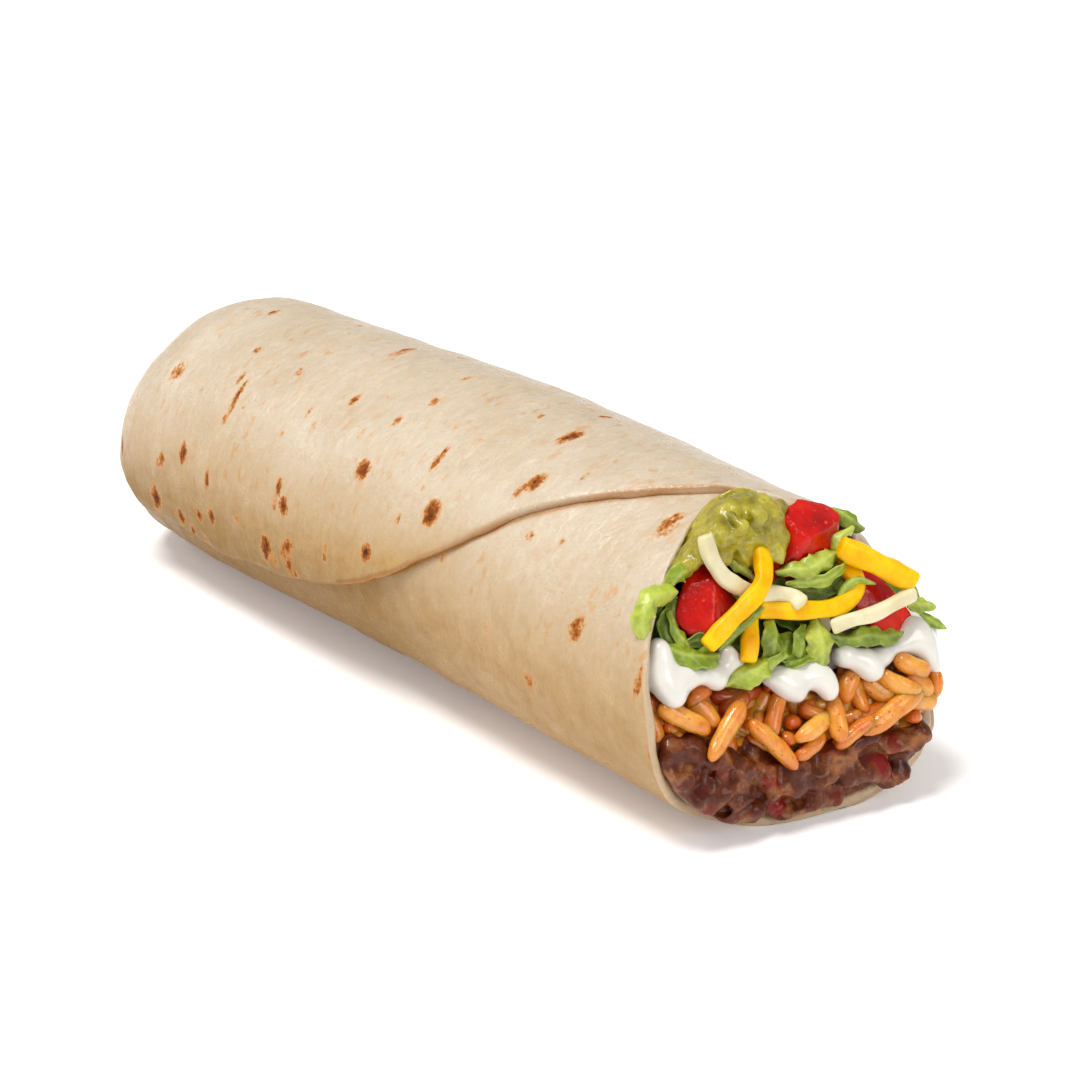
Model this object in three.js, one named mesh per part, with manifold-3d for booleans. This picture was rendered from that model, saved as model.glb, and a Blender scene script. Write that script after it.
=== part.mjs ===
// A rolled burrito, closed at one end and open at the other, lying on its side.
// Millimetres, +Z up. It is modelled with its closed tip at x = 0 and the open end
// toward +X, and the finished group is moved so that the origin is under its middle.
// Angles round the roll are in degrees: 0 on top, 90 on the near side (-Y), 180 below.
import * as THREE from 'three';
import { mergeVertices } from 'three/addons/utils/BufferGeometryUtils.js';
import Module from 'manifold-3d';

const wasm = await Module();
wasm.setup();

// ---- Driving dimensions -------------------------------------------------------------
const SHEET = 1.7;              // thickness of the tortilla
const FLAP_LIFT = 0.8;          // outer flap's edge above the mean surface
const WALL = 2.6;               // mean surface to the inside of the roll
const FOLDED_END = 5;           // extra thickness of the folded closed end
const CLEAR = 0.3;              // gap between neighbouring pieces
const LOWER_POWER = 2.22;       // squareness of the roll's lower half
const UPPER_POWER = 1.88;       // and of its upper half
const BELLY = 0.49;             // height of the widest place, as a share of the height
const SAG = 1.3;                // how far the round underside is pressed flat
const END_TOP = 27.3;           // length of the closed end's rounding, along the top
const END_SIDE = 23.1;
const END_BOTTOM = 11.4;
const END_POWER = 2.3;
const END_DROP = 9.5;           // the closed tip lies this much below the belly
const MEAN_LIP = 158;           // mean distance of the lip from the closed tip
const NEAR_TUCK = 1.4;          // the near side draws in toward the mouth
const TUCK_START = 122;
const TUCK_END = 164;

// Along the roll: [distance from the closed tip, value].
const HEIGHT = curveThrough([[0, 47.0], [28, 47.7], [57, 48.4], [86, 48.5], [109, 47.6],
  [128, 46.5], [143, 45.6], [163, 44.7]]);
const HALF_WIDTH = curveThrough([[0, 26.3], [38, 26.5], [86, 27.6], [124, 27.7], [163, 28.3]]);
const CENTRE_Y = curveThrough([[0, 0.2], [48, -0.5], [105, 0.6], [163, -0.2]]);
// The flap's edge: [distance from the closed tip, angle].
const SEAM = curveThrough([[0, 52], [5, 74], [10, 92], [15, 102], [21, 112], [36, 112], [49, 115],
  [55, 113], [62, 110], [71, 107], [79, 103.5], [91, 94.5], [99, 86.5], [108, 72.5], [115, 61],
  [122, 46.5], [130, 32], [142, 9], [147.8, -4], [153.9, -14]]);
// The lip of the mouth: [angle, distance from the closed tip].
const LIP = curveThrough([[-60, 153.2], [-40, 153.4], [-22, 153.8], [-10, 150.9], [-4, 148.6],
  [4, 147.3], [9, 147.2], [18, 148.4], [27, 149.9], [61, 155.8], [97, 160.4], [120, 160.2],
  [140, 158.2], [152, 159.1], [172, 164.8], [196, 167.8], [223, 169.1], [236, 168.6],
  [244, 166.6], [262, 159.4], [280, 154.8], [300, 153.2]]);

// The open face of the filling is a slanted plane, x = FACE_X + FACE_Y * y + FACE_Z * z,
// that draws back toward the lip below FACE_FOOT.
const FACE_X = 172.3;
const FACE_Y = 0.22;
const FACE_Z = -0.44;
const FACE_FOOT = 14;
const FOOT_CURVE = 0.04;
const FACE_OUT = new THREE.Vector3(1, -FACE_Y, -FACE_Z).normalize();
const FACE_RIGHT = new THREE.Vector3(0, 1, 0).addScaledVector(FACE_OUT, -FACE_OUT.y).normalize();
const FACE_UP = new THREE.Vector3().crossVectors(FACE_OUT, FACE_RIGHT);
const LAYER_GAP = 0.5;          // gap between one layer's core and the next
const CORE_SLACK = 0.65;        // gap between the layers' cores and the roll

// Layer boundaries across the roll: [y, z].
const BEANS_TOP = curveThrough([[-28, 19.2], [-17, 16.2], [-10, 14.3], [-4, 12], [8, 11.3],
  [20, 11.4], [28, 12]]);
const RICE_TOP = curveThrough([[-28, 23], [-12, 21.8], [-4, 20.4], [4, 18.6], [14, 19],
  [20, 20.6], [28, 20]]);
const CREAM_TOP = curveThrough([[-28, 30], [-14, 27], [-5, 24.2], [6, 24.2], [12, 23.8],
  [20, 25], [28, 25]]);
const SALAD_TOP = curveThrough([[-28, 38], [-15, 37], [-4, 37.4], [3, 37], [6, 41], [9, 52],
  [28, 52]]);
const LAYER_STEPS = 10;
const BELOW_ALL = -5;
const ABOVE_ALL = 60;
const HALF_SPAN = 30;

const GRAIN_LENGTH = 9;
const GRAIN_RADIUS = 1.35;
const LEAF_THICK = 0.8;

// ---- Small helpers ------------------------------------------------------------------

// A smooth curve y(x) through points, flat at peaks: it never overshoots them.
function curveThrough(points) {
  const last = points.length - 1;
  const slopes = [];
  for (let i = 0; i < last; i += 1) {
    slopes.push((points[i + 1][1] - points[i][1]) / (points[i + 1][0] - points[i][0]));
  }
  const tangents = points.map((point, i) => {
    if (i === 0) return slopes[0];
    if (i === last) return slopes[last - 1];
    const product = slopes[i - 1] * slopes[i];
    return product <= 0 ? 0 : (2 * product) / (slopes[i - 1] + slopes[i]);
  });
  return (x) => {
    if (x <= points[0][0]) return points[0][1];
    if (x >= points[last][0]) return points[last][1];
    let i = 0;
    while (x > points[i + 1][0]) i += 1;
    const width = points[i + 1][0] - points[i][0];
    const t = (x - points[i][0]) / width;
    const s = 1 - t;
    return points[i][1] * s * s * (1 + 2 * t) + points[i + 1][1] * t * t * (3 - 2 * t)
      + tangents[i] * width * t * s * s - tangents[i + 1] * width * t * t * s;
  };
}

// A seeded source of numbers from 0 to 1.
function randomSource(seed) {
  let state = seed;
  return () => {
    state = (state * 1664525 + 1013904223) % 4294967296;
    return state / 4294967296;
  };
}

function smoothStep(value) {
  const t = THREE.MathUtils.clamp(value, 0, 1);
  return t * t * (3 - 2 * t);
}

function signedPower(value, power) {
  return Math.sign(value) * Math.abs(value) ** power;
}

// ---- The roll's surface -------------------------------------------------------------

// The mean surface before it is pressed flat underneath.
function meanPoint(x, angle) {
  const c = Math.cos(THREE.MathUtils.degToRad(angle));
  const s = Math.sin(THREE.MathUtils.degToRad(angle));
  const power = 2 / (c > 0 ? UPPER_POWER : LOWER_POWER);
  const height = HEIGHT(x);
  const belly = BELLY * height;
  const tuck = s > 0 ? NEAR_TUCK * smoothStep((x - TUCK_START) / (TUCK_END - TUCK_START)) : 0;
  const reach = c > 0 ? height - belly : belly + SAG;
  const endLength = END_SIDE + (c > 0 ? END_TOP - END_SIDE : END_SIDE - END_BOTTOM) * c;
  const u = THREE.MathUtils.clamp(1 - x / endLength, 0, 1);
  const round = (1 - u ** END_POWER) ** (1 / END_POWER);
  return new THREE.Vector3(
    x,
    CENTRE_Y(x) - (HALF_WIDTH(x) - tuck) * signedPower(s, power) * round,
    belly + reach * signedPower(c, power) * round - END_DROP * (1 - round),
  );
}

// A point lifted off the mean surface along its outward normal, no lower than the floor.
function rollPoint(x, angle, lift, floor) {
  const stepX = 0.2;
  const stepAngle = 1;
  const at = Math.max(x, stepX);
  const alongX = meanPoint(at + stepX, angle).sub(meanPoint(at - stepX, angle));
  const round = meanPoint(at, angle + stepAngle).sub(meanPoint(at, angle - stepAngle));
  const normal = new THREE.Vector3().crossVectors(round, alongX).normalize();
  const point = meanPoint(x, angle).addScaledVector(normal, lift);
  point.z = Math.max(point.z, floor);
  return point;
}

function lipAt(angle) {
  return LIP(THREE.MathUtils.euclideanModulo(angle + 60, 360) - 60);
}

// Rows are rings at the closed end and lean over to follow the lip at the mouth.
function rowX(station, angle) {
  return station + (lipAt(angle) - MEAN_LIP) * (station / MEAN_LIP) ** 4;
}

// The angle at which the flap's edge crosses a row.
function seamOnRow(station) {
  let angle = SEAM(station);
  for (let i = 0; i < 20; i += 1) {
    angle = SEAM(rowX(station, angle));
  }
  return angle;
}

// The sheet winds inward from the flap's edge, over the top and round to below that edge.
function spiralLift(turned) {
  return FLAP_LIFT - SHEET * THREE.MathUtils.clamp((turned - 30) / 300, 0, 1);
}

function cavityLift(x) {
  return -WALL - FOLDED_END * (1 - smoothStep(x / END_TOP));
}

// ---- Meshes -------------------------------------------------------------------------

// A closed mesh from rings of points: fans close both ends, faces point out.
function ringsGeometry(rings, startPoint, endPoint) {
  const count = rings[0].length;
  const points = [startPoint, ...rings.flat(), endPoint];
  const faces = [];
  const at = (ring, j) => 1 + ring * count + (j % count);
  for (let j = 0; j < count; j += 1) {
    faces.push(0, at(0, j), at(0, j + 1));
    faces.push(points.length - 1, at(rings.length - 1, j + 1), at(rings.length - 1, j));
    for (let i = 0; i + 1 < rings.length; i += 1) {
      faces.push(at(i, j), at(i + 1, j), at(i, j + 1));
      faces.push(at(i, j + 1), at(i + 1, j), at(i + 1, j + 1));
    }
  }
  const geometry = new THREE.BufferGeometry();
  geometry.setAttribute('position', new THREE.Float32BufferAttribute(
    points.flatMap((p) => [p.x, p.y, p.z]), 3));
  geometry.setIndex(faces);
  return geometry;
}

function toSolid(geometry) {
  const bare = geometry.clone();
  bare.deleteAttribute('normal');
  bare.deleteAttribute('uv');
  const merged = mergeVertices(bare, 1e-4);
  const solid = new wasm.Manifold(new wasm.Mesh({
    numProp: 3,
    vertProperties: Float32Array.from(merged.attributes.position.array),
    triVerts: Uint32Array.from(merged.index.array),
  }));
  return solid;
}

function largestPiece(solid) {
  const pieces = solid.decompose();
  pieces.sort((a, b) => b.volume() - a.volume());
  return pieces[0];
}

function joined(solids) {
  return solids.reduce((whole, solid) => whole.add(solid));
}

function toMesh(name, solid, material) {
  const mesh = solid.getMesh();
  const geometry = new THREE.BufferGeometry();
  const positions = [];
  for (let i = 0; i < mesh.vertProperties.length; i += mesh.numProp) {
    positions.push(...mesh.vertProperties.slice(i, i + 3));
  }
  geometry.setAttribute('position', new THREE.Float32BufferAttribute(positions, 3));
  geometry.setIndex(Array.from(mesh.triVerts));
  geometry.computeVertexNormals();
  const result = new THREE.Mesh(geometry, material);
  result.name = name;
  return result;
}

function matt(color, roughness) {
  return new THREE.MeshStandardMaterial({ color, roughness, metalness: 0 });
}

// ---- The tortilla -------------------------------------------------------------------

const OUTER_ROWS = 26;
const OUTER_COLUMNS = 34;
const INNER_ROWS = 7;
const END_SHARE = 0.33;         // the share of the rows on the closed end
const INNER_START = 4;          // the cavity's closed end starts at this station

// Stations crowd together where the closed end turns over.
function stationOf(share) {
  if (share < END_SHARE) return END_TOP * (share / END_SHARE) ** 1.8;
  return END_TOP + ((MEAN_LIP - END_TOP) * (share - END_SHARE)) / (1 - END_SHARE);
}

function tortillaSolid(grow) {
  const rings = [];
  for (let i = 1; i <= OUTER_ROWS; i += 1) {
    const station = stationOf(i / OUTER_ROWS);
    const seam = seamOnRow(station);
    const ring = [];
    for (let j = 0; j <= OUTER_COLUMNS; j += 1) {
      const turned = (360 * j) / OUTER_COLUMNS;
      const angle = seam - turned;
      const x = rowX(station, angle) + (grow * station) / MEAN_LIP;
      ring.push(rollPoint(x, angle, spiralLift(turned) + grow, -grow));
    }
    rings.push(ring);
  }
  // The seam's step closes each ring, and the cavity's rings run back from the lip.
  const lipSeam = seamOnRow(MEAN_LIP);
  for (let i = INNER_ROWS; i >= 0; i -= 1) {
    const station = INNER_START + (MEAN_LIP - INNER_START) * (i / INNER_ROWS) ** 1.3;
    const ring = [];
    for (let j = 0; j <= OUTER_COLUMNS; j += 1) {
      const angle = lipSeam - (360 * Math.min(j, OUTER_COLUMNS - 0.5)) / OUTER_COLUMNS;
      const x = rowX(station, angle) + (grow * station) / MEAN_LIP;
      ring.push(rollPoint(x, angle, cavityLift(x) - grow, SHEET + 0.2 + grow));
    }
    rings.push(ring);
  }
  const tip = meanPoint(0, 0);
  const innerTip = rings[rings.length - 1].reduce((sum, p) => sum.add(p), new THREE.Vector3());
  innerTip.divideScalar(OUTER_COLUMNS + 1);
  return toSolid(ringsGeometry(rings, tip, innerTip));
}

// ---- The layers' cores --------------------------------------------------------------

const PLUG_ROWS = 6;
const PLUG_COLUMNS = 30;

function faceX(y, z) {
  const below = Math.max(FACE_FOOT - z, 0);
  return FACE_X + FACE_Y * y + FACE_Z * z - FOOT_CURVE * below * below;
}

// All the filling as one plug that stops some way behind the open face.
function plugSolid(recess, grow) {
  const rings = [];
  const lift = (x) => cavityLift(x) - CORE_SLACK + grow;
  const floor = SHEET + 0.2 + CORE_SLACK - grow;
  for (let i = 0; i <= PLUG_ROWS; i += 1) {
    const share = (i / PLUG_ROWS) ** 1.3;
    const ring = [];
    for (let j = 0; j < PLUG_COLUMNS; j += 1) {
      const angle = -(360 * j) / PLUG_COLUMNS;
      let end = MEAN_LIP;
      for (let k = 0; k < 8; k += 1) {
        const p = rollPoint(end, angle, lift(end), floor);
        end += faceX(p.y, p.z) - recess + grow - p.x;
      }
      const x = INNER_START + 1 + (end - INNER_START - 1) * share;
      ring.push(rollPoint(x, angle, lift(x), floor));
    }
    rings.push(ring);
  }
  const centreOf = (ring) => ring.reduce((sum, p) => sum.add(p), new THREE.Vector3())
    .divideScalar(PLUG_COLUMNS);
  return toSolid(ringsGeometry(rings, centreOf(rings[0]), centreOf(rings[PLUG_ROWS])));
}

// A slab right through the roll between two boundaries, z = lower(y) and z = upper(y).
function slabSolid(lower, upper) {
  const outline = new THREE.Shape();
  outline.moveTo(-HALF_SPAN, lower(-HALF_SPAN));
  for (let i = 1; i <= LAYER_STEPS; i += 1) {
    const y = -HALF_SPAN + (2 * HALF_SPAN * i) / LAYER_STEPS;
    outline.lineTo(y, lower(y));
  }
  for (let i = LAYER_STEPS; i >= 0; i -= 1) {
    const y = -HALF_SPAN + (2 * HALF_SPAN * i) / LAYER_STEPS;
    outline.lineTo(y, upper(y));
  }
  const geometry = new THREE.ExtrudeGeometry(outline, { depth: 200, bevelEnabled: false });
  const turn = new THREE.Matrix4().makeBasis(
    new THREE.Vector3(0, 1, 0), new THREE.Vector3(0, 0, 1), new THREE.Vector3(1, 0, 0));
  return toSolid(geometry.applyMatrix4(turn));
}

function layerCore(lower, upper, recess, grow) {
  const gap = LAYER_GAP / 2 - grow;
  return plugSolid(recess, grow).intersect(slabSolid((y) => lower(y) + gap, (y) => upper(y) - gap));
}

// ---- Pieces that show on the face ---------------------------------------------------

// A place on the face, out from it by some distance.
function onFace(y, z, out) {
  return new THREE.Vector3(faceX(y, z), y, z).addScaledVector(FACE_OUT, out);
}

// A frame on the face: its X axis turned from the face's right, its Z axis pointing out.
function faceFrame(y, z, out, turn, lean) {
  const basis = new THREE.Matrix4().makeBasis(FACE_RIGHT, FACE_UP, FACE_OUT);
  const spin = new THREE.Matrix4().makeRotationZ(THREE.MathUtils.degToRad(turn));
  const tip = new THREE.Matrix4().makeRotationY(THREE.MathUtils.degToRad(-lean));
  return basis.multiply(spin).multiply(tip).setPosition(onFace(y, z, out));
}

// A cooked grain of rice, its long axis along X.
function grain(place, grow) {
  const half = GRAIN_LENGTH / 2 + grow;
  const radius = GRAIN_RADIUS + grow;
  const profile = [new THREE.Vector2(0, -half), new THREE.Vector2(radius * 0.85, -half * 0.72),
    new THREE.Vector2(radius, 0.05), new THREE.Vector2(radius * 0.8, half * 0.75),
    new THREE.Vector2(0, half)];
  const geometry = new THREE.LatheGeometry(profile, 5).rotateZ(Math.PI / 2);
  return toSolid(geometry.applyMatrix4(place));
}

// An uneven round lump of cream, mash or bean.
function lump(place, size, grow, seed) {
  const geometry = new THREE.IcosahedronGeometry(1, 1);
  geometry.deleteAttribute('normal');
  geometry.deleteAttribute('uv');
  const merged = mergeVertices(geometry, 1e-4);
  const random = randomSource(seed);
  const position = merged.attributes.position;
  for (let i = 0; i < position.count; i += 1) {
    const swell = 0.9 + 0.2 * random();
    position.setXYZ(i, position.getX(i) * (size[0] / 2 + grow) * swell,
      position.getY(i) * (size[1] / 2 + grow) * swell, position.getZ(i) * (size[2] / 2 + grow) * swell);
  }
  return toSolid(merged.applyMatrix4(place));
}

// A thin wavy leaf: it starts at its frame's origin and runs along X, bending out along Z.
function leaf(place, length, width, bend, waves, grow) {
  const steps = 4;
  const across = [-1, 0, 1];
  const thick = LEAF_THICK / 2 + grow;
  const surface = (share, side, offset) => {
    const reach = (length + 2 * grow) * share - grow;
    const half = (width / 2 + grow) * Math.sin(Math.PI * (0.12 + 0.8 * share)) ** 0.7;
    const ruffle = 0.09 * width * Math.sin(2 * Math.PI * waves * share + side) * side * side;
    return new THREE.Vector3(reach, half * side + 0.06 * width * Math.sin(5 * share),
      bend * share * share + ruffle + offset);
  };
  const rings = [];
  for (let i = 0; i <= steps; i += 1) {
    const share = i / steps;
    const top = across.map((side) => surface(share, side, thick));
    const bottom = across.slice().reverse().map((side) => surface(share, side, -thick));
    rings.push([...top, ...bottom]);
  }
  const middle = (ring) => ring.reduce((sum, p) => sum.add(p), new THREE.Vector3())
    .divideScalar(ring.length);
  const geometry = ringsGeometry(rings, middle(rings[0].slice()), middle(rings[steps].slice()));
  return toSolid(geometry.applyMatrix4(place));
}

// A cube of tomato with softened corners.
function dice(place, size, grow) {
  const geometry = new THREE.BoxGeometry(2, 2, 2, 2, 2, 2);
  geometry.deleteAttribute('normal');
  geometry.deleteAttribute('uv');
  const merged = mergeVertices(geometry, 1e-4);
  const position = merged.attributes.position;
  const corner = new THREE.Vector3();
  for (let i = 0; i < position.count; i += 1) {
    corner.fromBufferAttribute(position, i);
    const power = 7;
    const norm = (Math.abs(corner.x) ** power + Math.abs(corner.y) ** power
      + Math.abs(corner.z) ** power) ** (1 / power);
    const narrow = 1 - 0.12 * corner.y;
    corner.divideScalar(norm);
    position.setXYZ(i, corner.x * narrow * (size[0] / 2 + grow), corner.y * (size[1] / 2 + grow),
      corner.z * (size[2] / 2 + grow));
  }
  return toSolid(merged.applyMatrix4(place));
}

// A cheese shred along a curve through [y, z, out] places on the face.
function shred(places, side, grow) {
  const half = side / 2 + grow;
  const path = new THREE.CatmullRomCurve3(places.map((p) => onFace(...p)));
  const start = path.getPoint(0).addScaledVector(path.getTangent(0), -grow);
  const end = path.getPoint(1).addScaledVector(path.getTangent(1), grow);
  const points = [start, ...places.slice(1, -1).map((p) => onFace(...p)), end];
  const cut = 0.3 * half;
  const section = new THREE.Shape([
    new THREE.Vector2(half, half - cut), new THREE.Vector2(half - cut, half),
    new THREE.Vector2(cut - half, half), new THREE.Vector2(-half, half - cut),
    new THREE.Vector2(-half, cut - half), new THREE.Vector2(cut - half, -half),
    new THREE.Vector2(half - cut, -half), new THREE.Vector2(half, cut - half)]);
  const steps = 2 * (places.length - 1) + 1;
  return toSolid(new THREE.ExtrudeGeometry(section, {
    extrudePath: new THREE.CatmullRomCurve3(points), steps, bevelEnabled: false }));
}

// ---- What lies on the face: every place is [y, z, out] in mm ------------------------

const TOMATOES = [
  { y: 8, z: 39.8, out: -2.2, turn: 8, lean: 4, size: [9, 9.4, 8] },
  { y: -11, z: 33.8, out: -2.2, turn: 24, lean: -4, size: [8.6, 9.8, 8] },
  { y: 16.6, z: 29, out: -1.6, turn: -40, lean: 0, size: [8.4, 9, 7] },
  { y: 1, z: 35.2, out: -2.4, turn: 10, lean: 0, size: [7.4, 3.4, 4.6] },
];
const CHEDDAR = [
  [[-1.6, 39.2, 2.4], [-3.4, 35.4, 4.4], [-7.8, 32.2, 4.8], [-10.7, 30.6, 4.6], [-14.6, 28.1, 3.8]],
  [[-3.8, 31.4, 1.4], [-0.2, 30.5, 2.2], [7.8, 29.6, 2.4], [12.1, 31.7, 2.6], [12.2, 33.3, 2.2],
    [12.4, 36.8, 0.2]],
  [[-4.9, 30.9, 0.8], [-6.5, 28.3, 2], [-8.4, 24.9, 2.8]],
  [[10.6, 37.5, 3.2], [15.6, 34, 4.4], [20.4, 30.8, 4.6]],
];
const WHITE_CHEESE = [
  [[-10.8, 42.4, 4.6], [-10.7, 39.7, 4.4], [-9.6, 37.1, 3.8], [-7.4, 35.2, 3], [-4.1, 33.6, 2.2],
    [-0.7, 33, 1.9], [1.8, 31, 4]],
  [[6.5, 27.1, 2.4], [8.9, 27.6, 4.2], [12.2, 27.8, 4.8], [15.7, 28.5, 4.8], [19.8, 29.4, 4.6]],
  [[8.3, 33.4, -0.8], [7.5, 29.8, -0.6], [6.7, 26.4, -0.4]],
];
const SHRED_SIDES = { cheddar: [2.5, 2.4, 2.3, 2.8], white: [2.3, 2.1, 1.8] };

// [y, z, out, turn, lean, length, width, bend, waves]
const LEAVES = [
  [-16.5, 30, -4.4, 118, 42, 10, 7, -2.5, 1.2],
  [-14.4, 36.4, -4.4, 75, 40, 7, 6, 0.5, 1.4],
  [-13.5, 29.6, -4.4, 205, 34, 8, 5, -1.5, 1],
  [-10, 29, -4.4, 210, 30, 10, 6.5, -1.5, 1.3],
  [-1.5, 27, -4.4, 205, 32, 12, 6, -1.5, 1.2],
  [0.4, 29, -4.4, -35, 40, 9, 7.5, 0, 1.6],
  [8, 28.4, -4.4, -15, 26, 12, 5, -1, 1.8],
  [18.5, 25.8, -4.4, 12, 30, 7.5, 4.5, 0, 1.5],
  [12, 37, -4.4, 75, 30, 8, 5, 0, 1.2],
  [1.5, 35, -4.4, -12, 32, 10, 5.5, 0.5, 1.6],
  [11, 33.4, -4.4, -30, 34, 7, 4, 0.5, 1.3],
  [-3, 36, -4.4, 170, 38, 6, 4, 0, 1.2],
  [-6.4, 31, -4.4, 240, 34, 8, 5, 0, 1.2],
];
// Cream lobes: [y, z, out, wide, high, deep]
const CREAM_LOBES = [
  [-19.4, 25.4, -1.2, 7.5, 9, 5], [-14, 25, -1, 7.5, 6, 5], [-7, 23.6, -1, 7, 4.6, 5],
  [-1.4, 21.4, -0.8, 7.5, 5.4, 5.4], [3.8, 21.4, -0.6, 6, 6.4, 5.4], [9.4, 22.6, -0.8, 7.5, 4.8, 5],
  [14.6, 21.6, -0.6, 6, 5, 5.4], [20.4, 23.2, -1.2, 7.5, 6.4, 6],
];
const GUAC_LUMPS = [
  [-10.6, 41, -1.2, 6, 6.6, 8], [-7, 42.6, -0.6, 7, 6, 8], [-3.4, 40.6, -0.4, 7.5, 7, 9],
  [0.6, 41.6, -0.4, 7, 6.6, 9], [2.8, 39.6, -1.2, 4.6, 5.6, 7], [-6.6, 39.6, -1, 7, 5, 7],
];
const BEAN_LUMPS = [
  [-18.5, 11.5, -1.6, 6.5, 6.5, 7], [-13, 7, -1.2, 7.5, 6.5, 8], [-12.5, 13, -1.6, 6, 5, 6.6],
  [-6.5, 9.5, -1.2, 7, 6, 7], [-4, 4.6, -0.8, 8, 4.4, 8], [0.8, 8.4, -1, 6, 5.6, 7.4],
  [4.6, 4.6, -0.6, 7.4, 4.4, 8], [8, 8.4, -0.8, 7, 6, 7.6], [12, 5, -0.8, 8, 4.6, 8],
  [15, 9, -1, 7, 5.4, 7.6], [19.4, 9.6, -1.6, 6, 5, 7],
];
// Rice grains are dealt over a band of the face with seeded unevenness.
const RICE_TRIES = 130;
const RICE_HALF_SPAN = 23;

function riceGrains(grow) {
  const random = randomSource(41);
  const grains = [];
  for (let i = 0; i < RICE_TRIES; i += 1) {
    const y = RICE_HALF_SPAN * (2 * random() - 1);
    const z = THREE.MathUtils.lerp(BEANS_TOP(y) - 0.5, RICE_TOP(y), random());
    const out = -1.7 + 1.5 * random() - Math.max(0, Math.abs(y) - 20) * 0.5;
    const turn = 180 * random();
    const lean = 36 * random() - 18;
    grains.push(grain(faceFrame(y, z, out, turn, lean), grow));
  }
  return grains;
}

function lumpsFrom(table, grow, seed) {
  return table.map(([y, z, out, ...size], i) => lump(
    faceFrame(y, z, out, 0, 0), size, grow, seed + i));
}

function leavesFrom(grow) {
  return LEAVES.map(([y, z, out, turn, lean, ...shape]) => leaf(
    faceFrame(y, z, out, turn, lean), ...shape, grow));
}

function tomatoFrom(item, grow) {
  return dice(faceFrame(item.y, item.z, item.out, item.turn, item.lean), item.size, grow);
}

// ---- Putting it together ------------------------------------------------------------

const nothingBelow = () => BELOW_ALL;
const nothingAbove = () => ABOVE_ALL;
// Each layer has its core's lower and upper boundary and its distance behind the open
// face, its pieces, the share of a piece that may be cut away by what lies across it, and
// the share that may be sunk in the layer's earlier pieces, before the piece is left out.
const LAYERS = {
  beans: {
    core: [nothingBelow, BEANS_TOP, 3.6], pieces: (grow) => lumpsFrom(BEAN_LUMPS, grow, 7),
    cut: 0.3, sunk: 1,
  },
  rice: { core: [BEANS_TOP, RICE_TOP, 1.8], pieces: riceGrains, cut: 0.08, sunk: 0.12 },
  sour_cream: {
    core: [RICE_TOP, CREAM_TOP, 2.4], pieces: (grow) => lumpsFrom(CREAM_LOBES, grow, 23),
    cut: 0.4, sunk: 1,
  },
  salad: { core: [CREAM_TOP, SALAD_TOP, 3.4], pieces: leavesFrom, cut: 0.5, sunk: 1 },
  guacamole: {
    core: [SALAD_TOP, nothingAbove, 3], pieces: (grow) => lumpsFrom(GUAC_LUMPS, grow, 3),
    cut: 0.3, sunk: 1,
  },
};
const LAYER_MATERIALS = {
  beans: matt(0x6b4a3c, 0.45),
  rice: matt(0xe0883a, 0.45),
  sour_cream: matt(0xf6f3ec, 0.3),
  salad: matt(0x7fa52c, 0.5),
  guacamole: matt(0xa9a548, 0.4),
};
const TOMATO = matt(0xcc1f14, 0.3);
const CHEDDAR_MATERIAL = matt(0xf7b21c, 0.4);
const WHITE_CHEESE_MATERIAL = matt(0xf0e6c4, 0.4);
const TORTILLA = matt(0xe8d8bd, 0.6);
// Earlier pieces keep their form, and later ones are cut back to stay clear of them.
const ORDER = ['salad', 'sour_cream', 'rice', 'beans', 'guacamole'];

// A layer's pieces are left out where they would cross what is already there, and
// fused to its core where they are free. Grown copies keep the next layers clear.
function layerSolids(name, keepOut) {
  const { core, pieces, cut, sunk } = LAYERS[name];
  const taken = joined(keepOut);
  const grown = pieces(CLEAR);
  const parts = [layerCore(...core, 0)];
  const rooms = [layerCore(...core, CLEAR)];
  let placed = null;
  pieces(0).forEach((piece, i) => {
    const whole = piece.volume();
    const crosses = piece.intersect(taken).volume() > cut * whole;
    const sinks = placed !== null && piece.intersect(placed).volume() > sunk * whole;
    if (crosses || sinks) return;
    parts.push(piece);
    rooms.push(grown[i]);
    placed = placed === null ? piece : placed.add(piece);
  });
  return { solid: largestPiece(joined(parts).subtract(taken)), room: joined(rooms) };
}

function build() {
  const burrito = new THREE.Group();
  burrito.name = 'burrito';
  const keepOut = [tortillaSolid(CLEAR)];
  const addTopping = (name, make, material) => {
    burrito.add(toMesh(name, largestPiece(make(0).subtract(joined(keepOut))), material));
    keepOut.push(make(CLEAR));
  };
  burrito.add(toMesh('tortilla', tortillaSolid(0), TORTILLA));
  CHEDDAR.forEach((places, i) => addTopping(`cheddar_${i + 1}`,
    (grow) => shred(places, SHRED_SIDES.cheddar[i], grow), CHEDDAR_MATERIAL));
  WHITE_CHEESE.forEach((places, i) => addTopping(`white_cheese_${i + 1}`,
    (grow) => shred(places, SHRED_SIDES.white[i], grow), WHITE_CHEESE_MATERIAL));
  TOMATOES.forEach((item, i) => addTopping(`tomato_${i + 1}`,
    (grow) => tomatoFrom(item, grow), TOMATO));
  for (const name of ORDER) {
    const { solid, room } = layerSolids(name, keepOut);
    burrito.add(toMesh(name, solid, LAYER_MATERIALS[name]));
    keepOut.push(room);
  }
  const box = new THREE.Box3().setFromObject(burrito);
  burrito.position.set(-(box.min.x + box.max.x) / 2, -(box.min.y + box.max.y) / 2, -box.min.z);
  return burrito;
}

export default build();
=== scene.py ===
import itertools
import math

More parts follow.
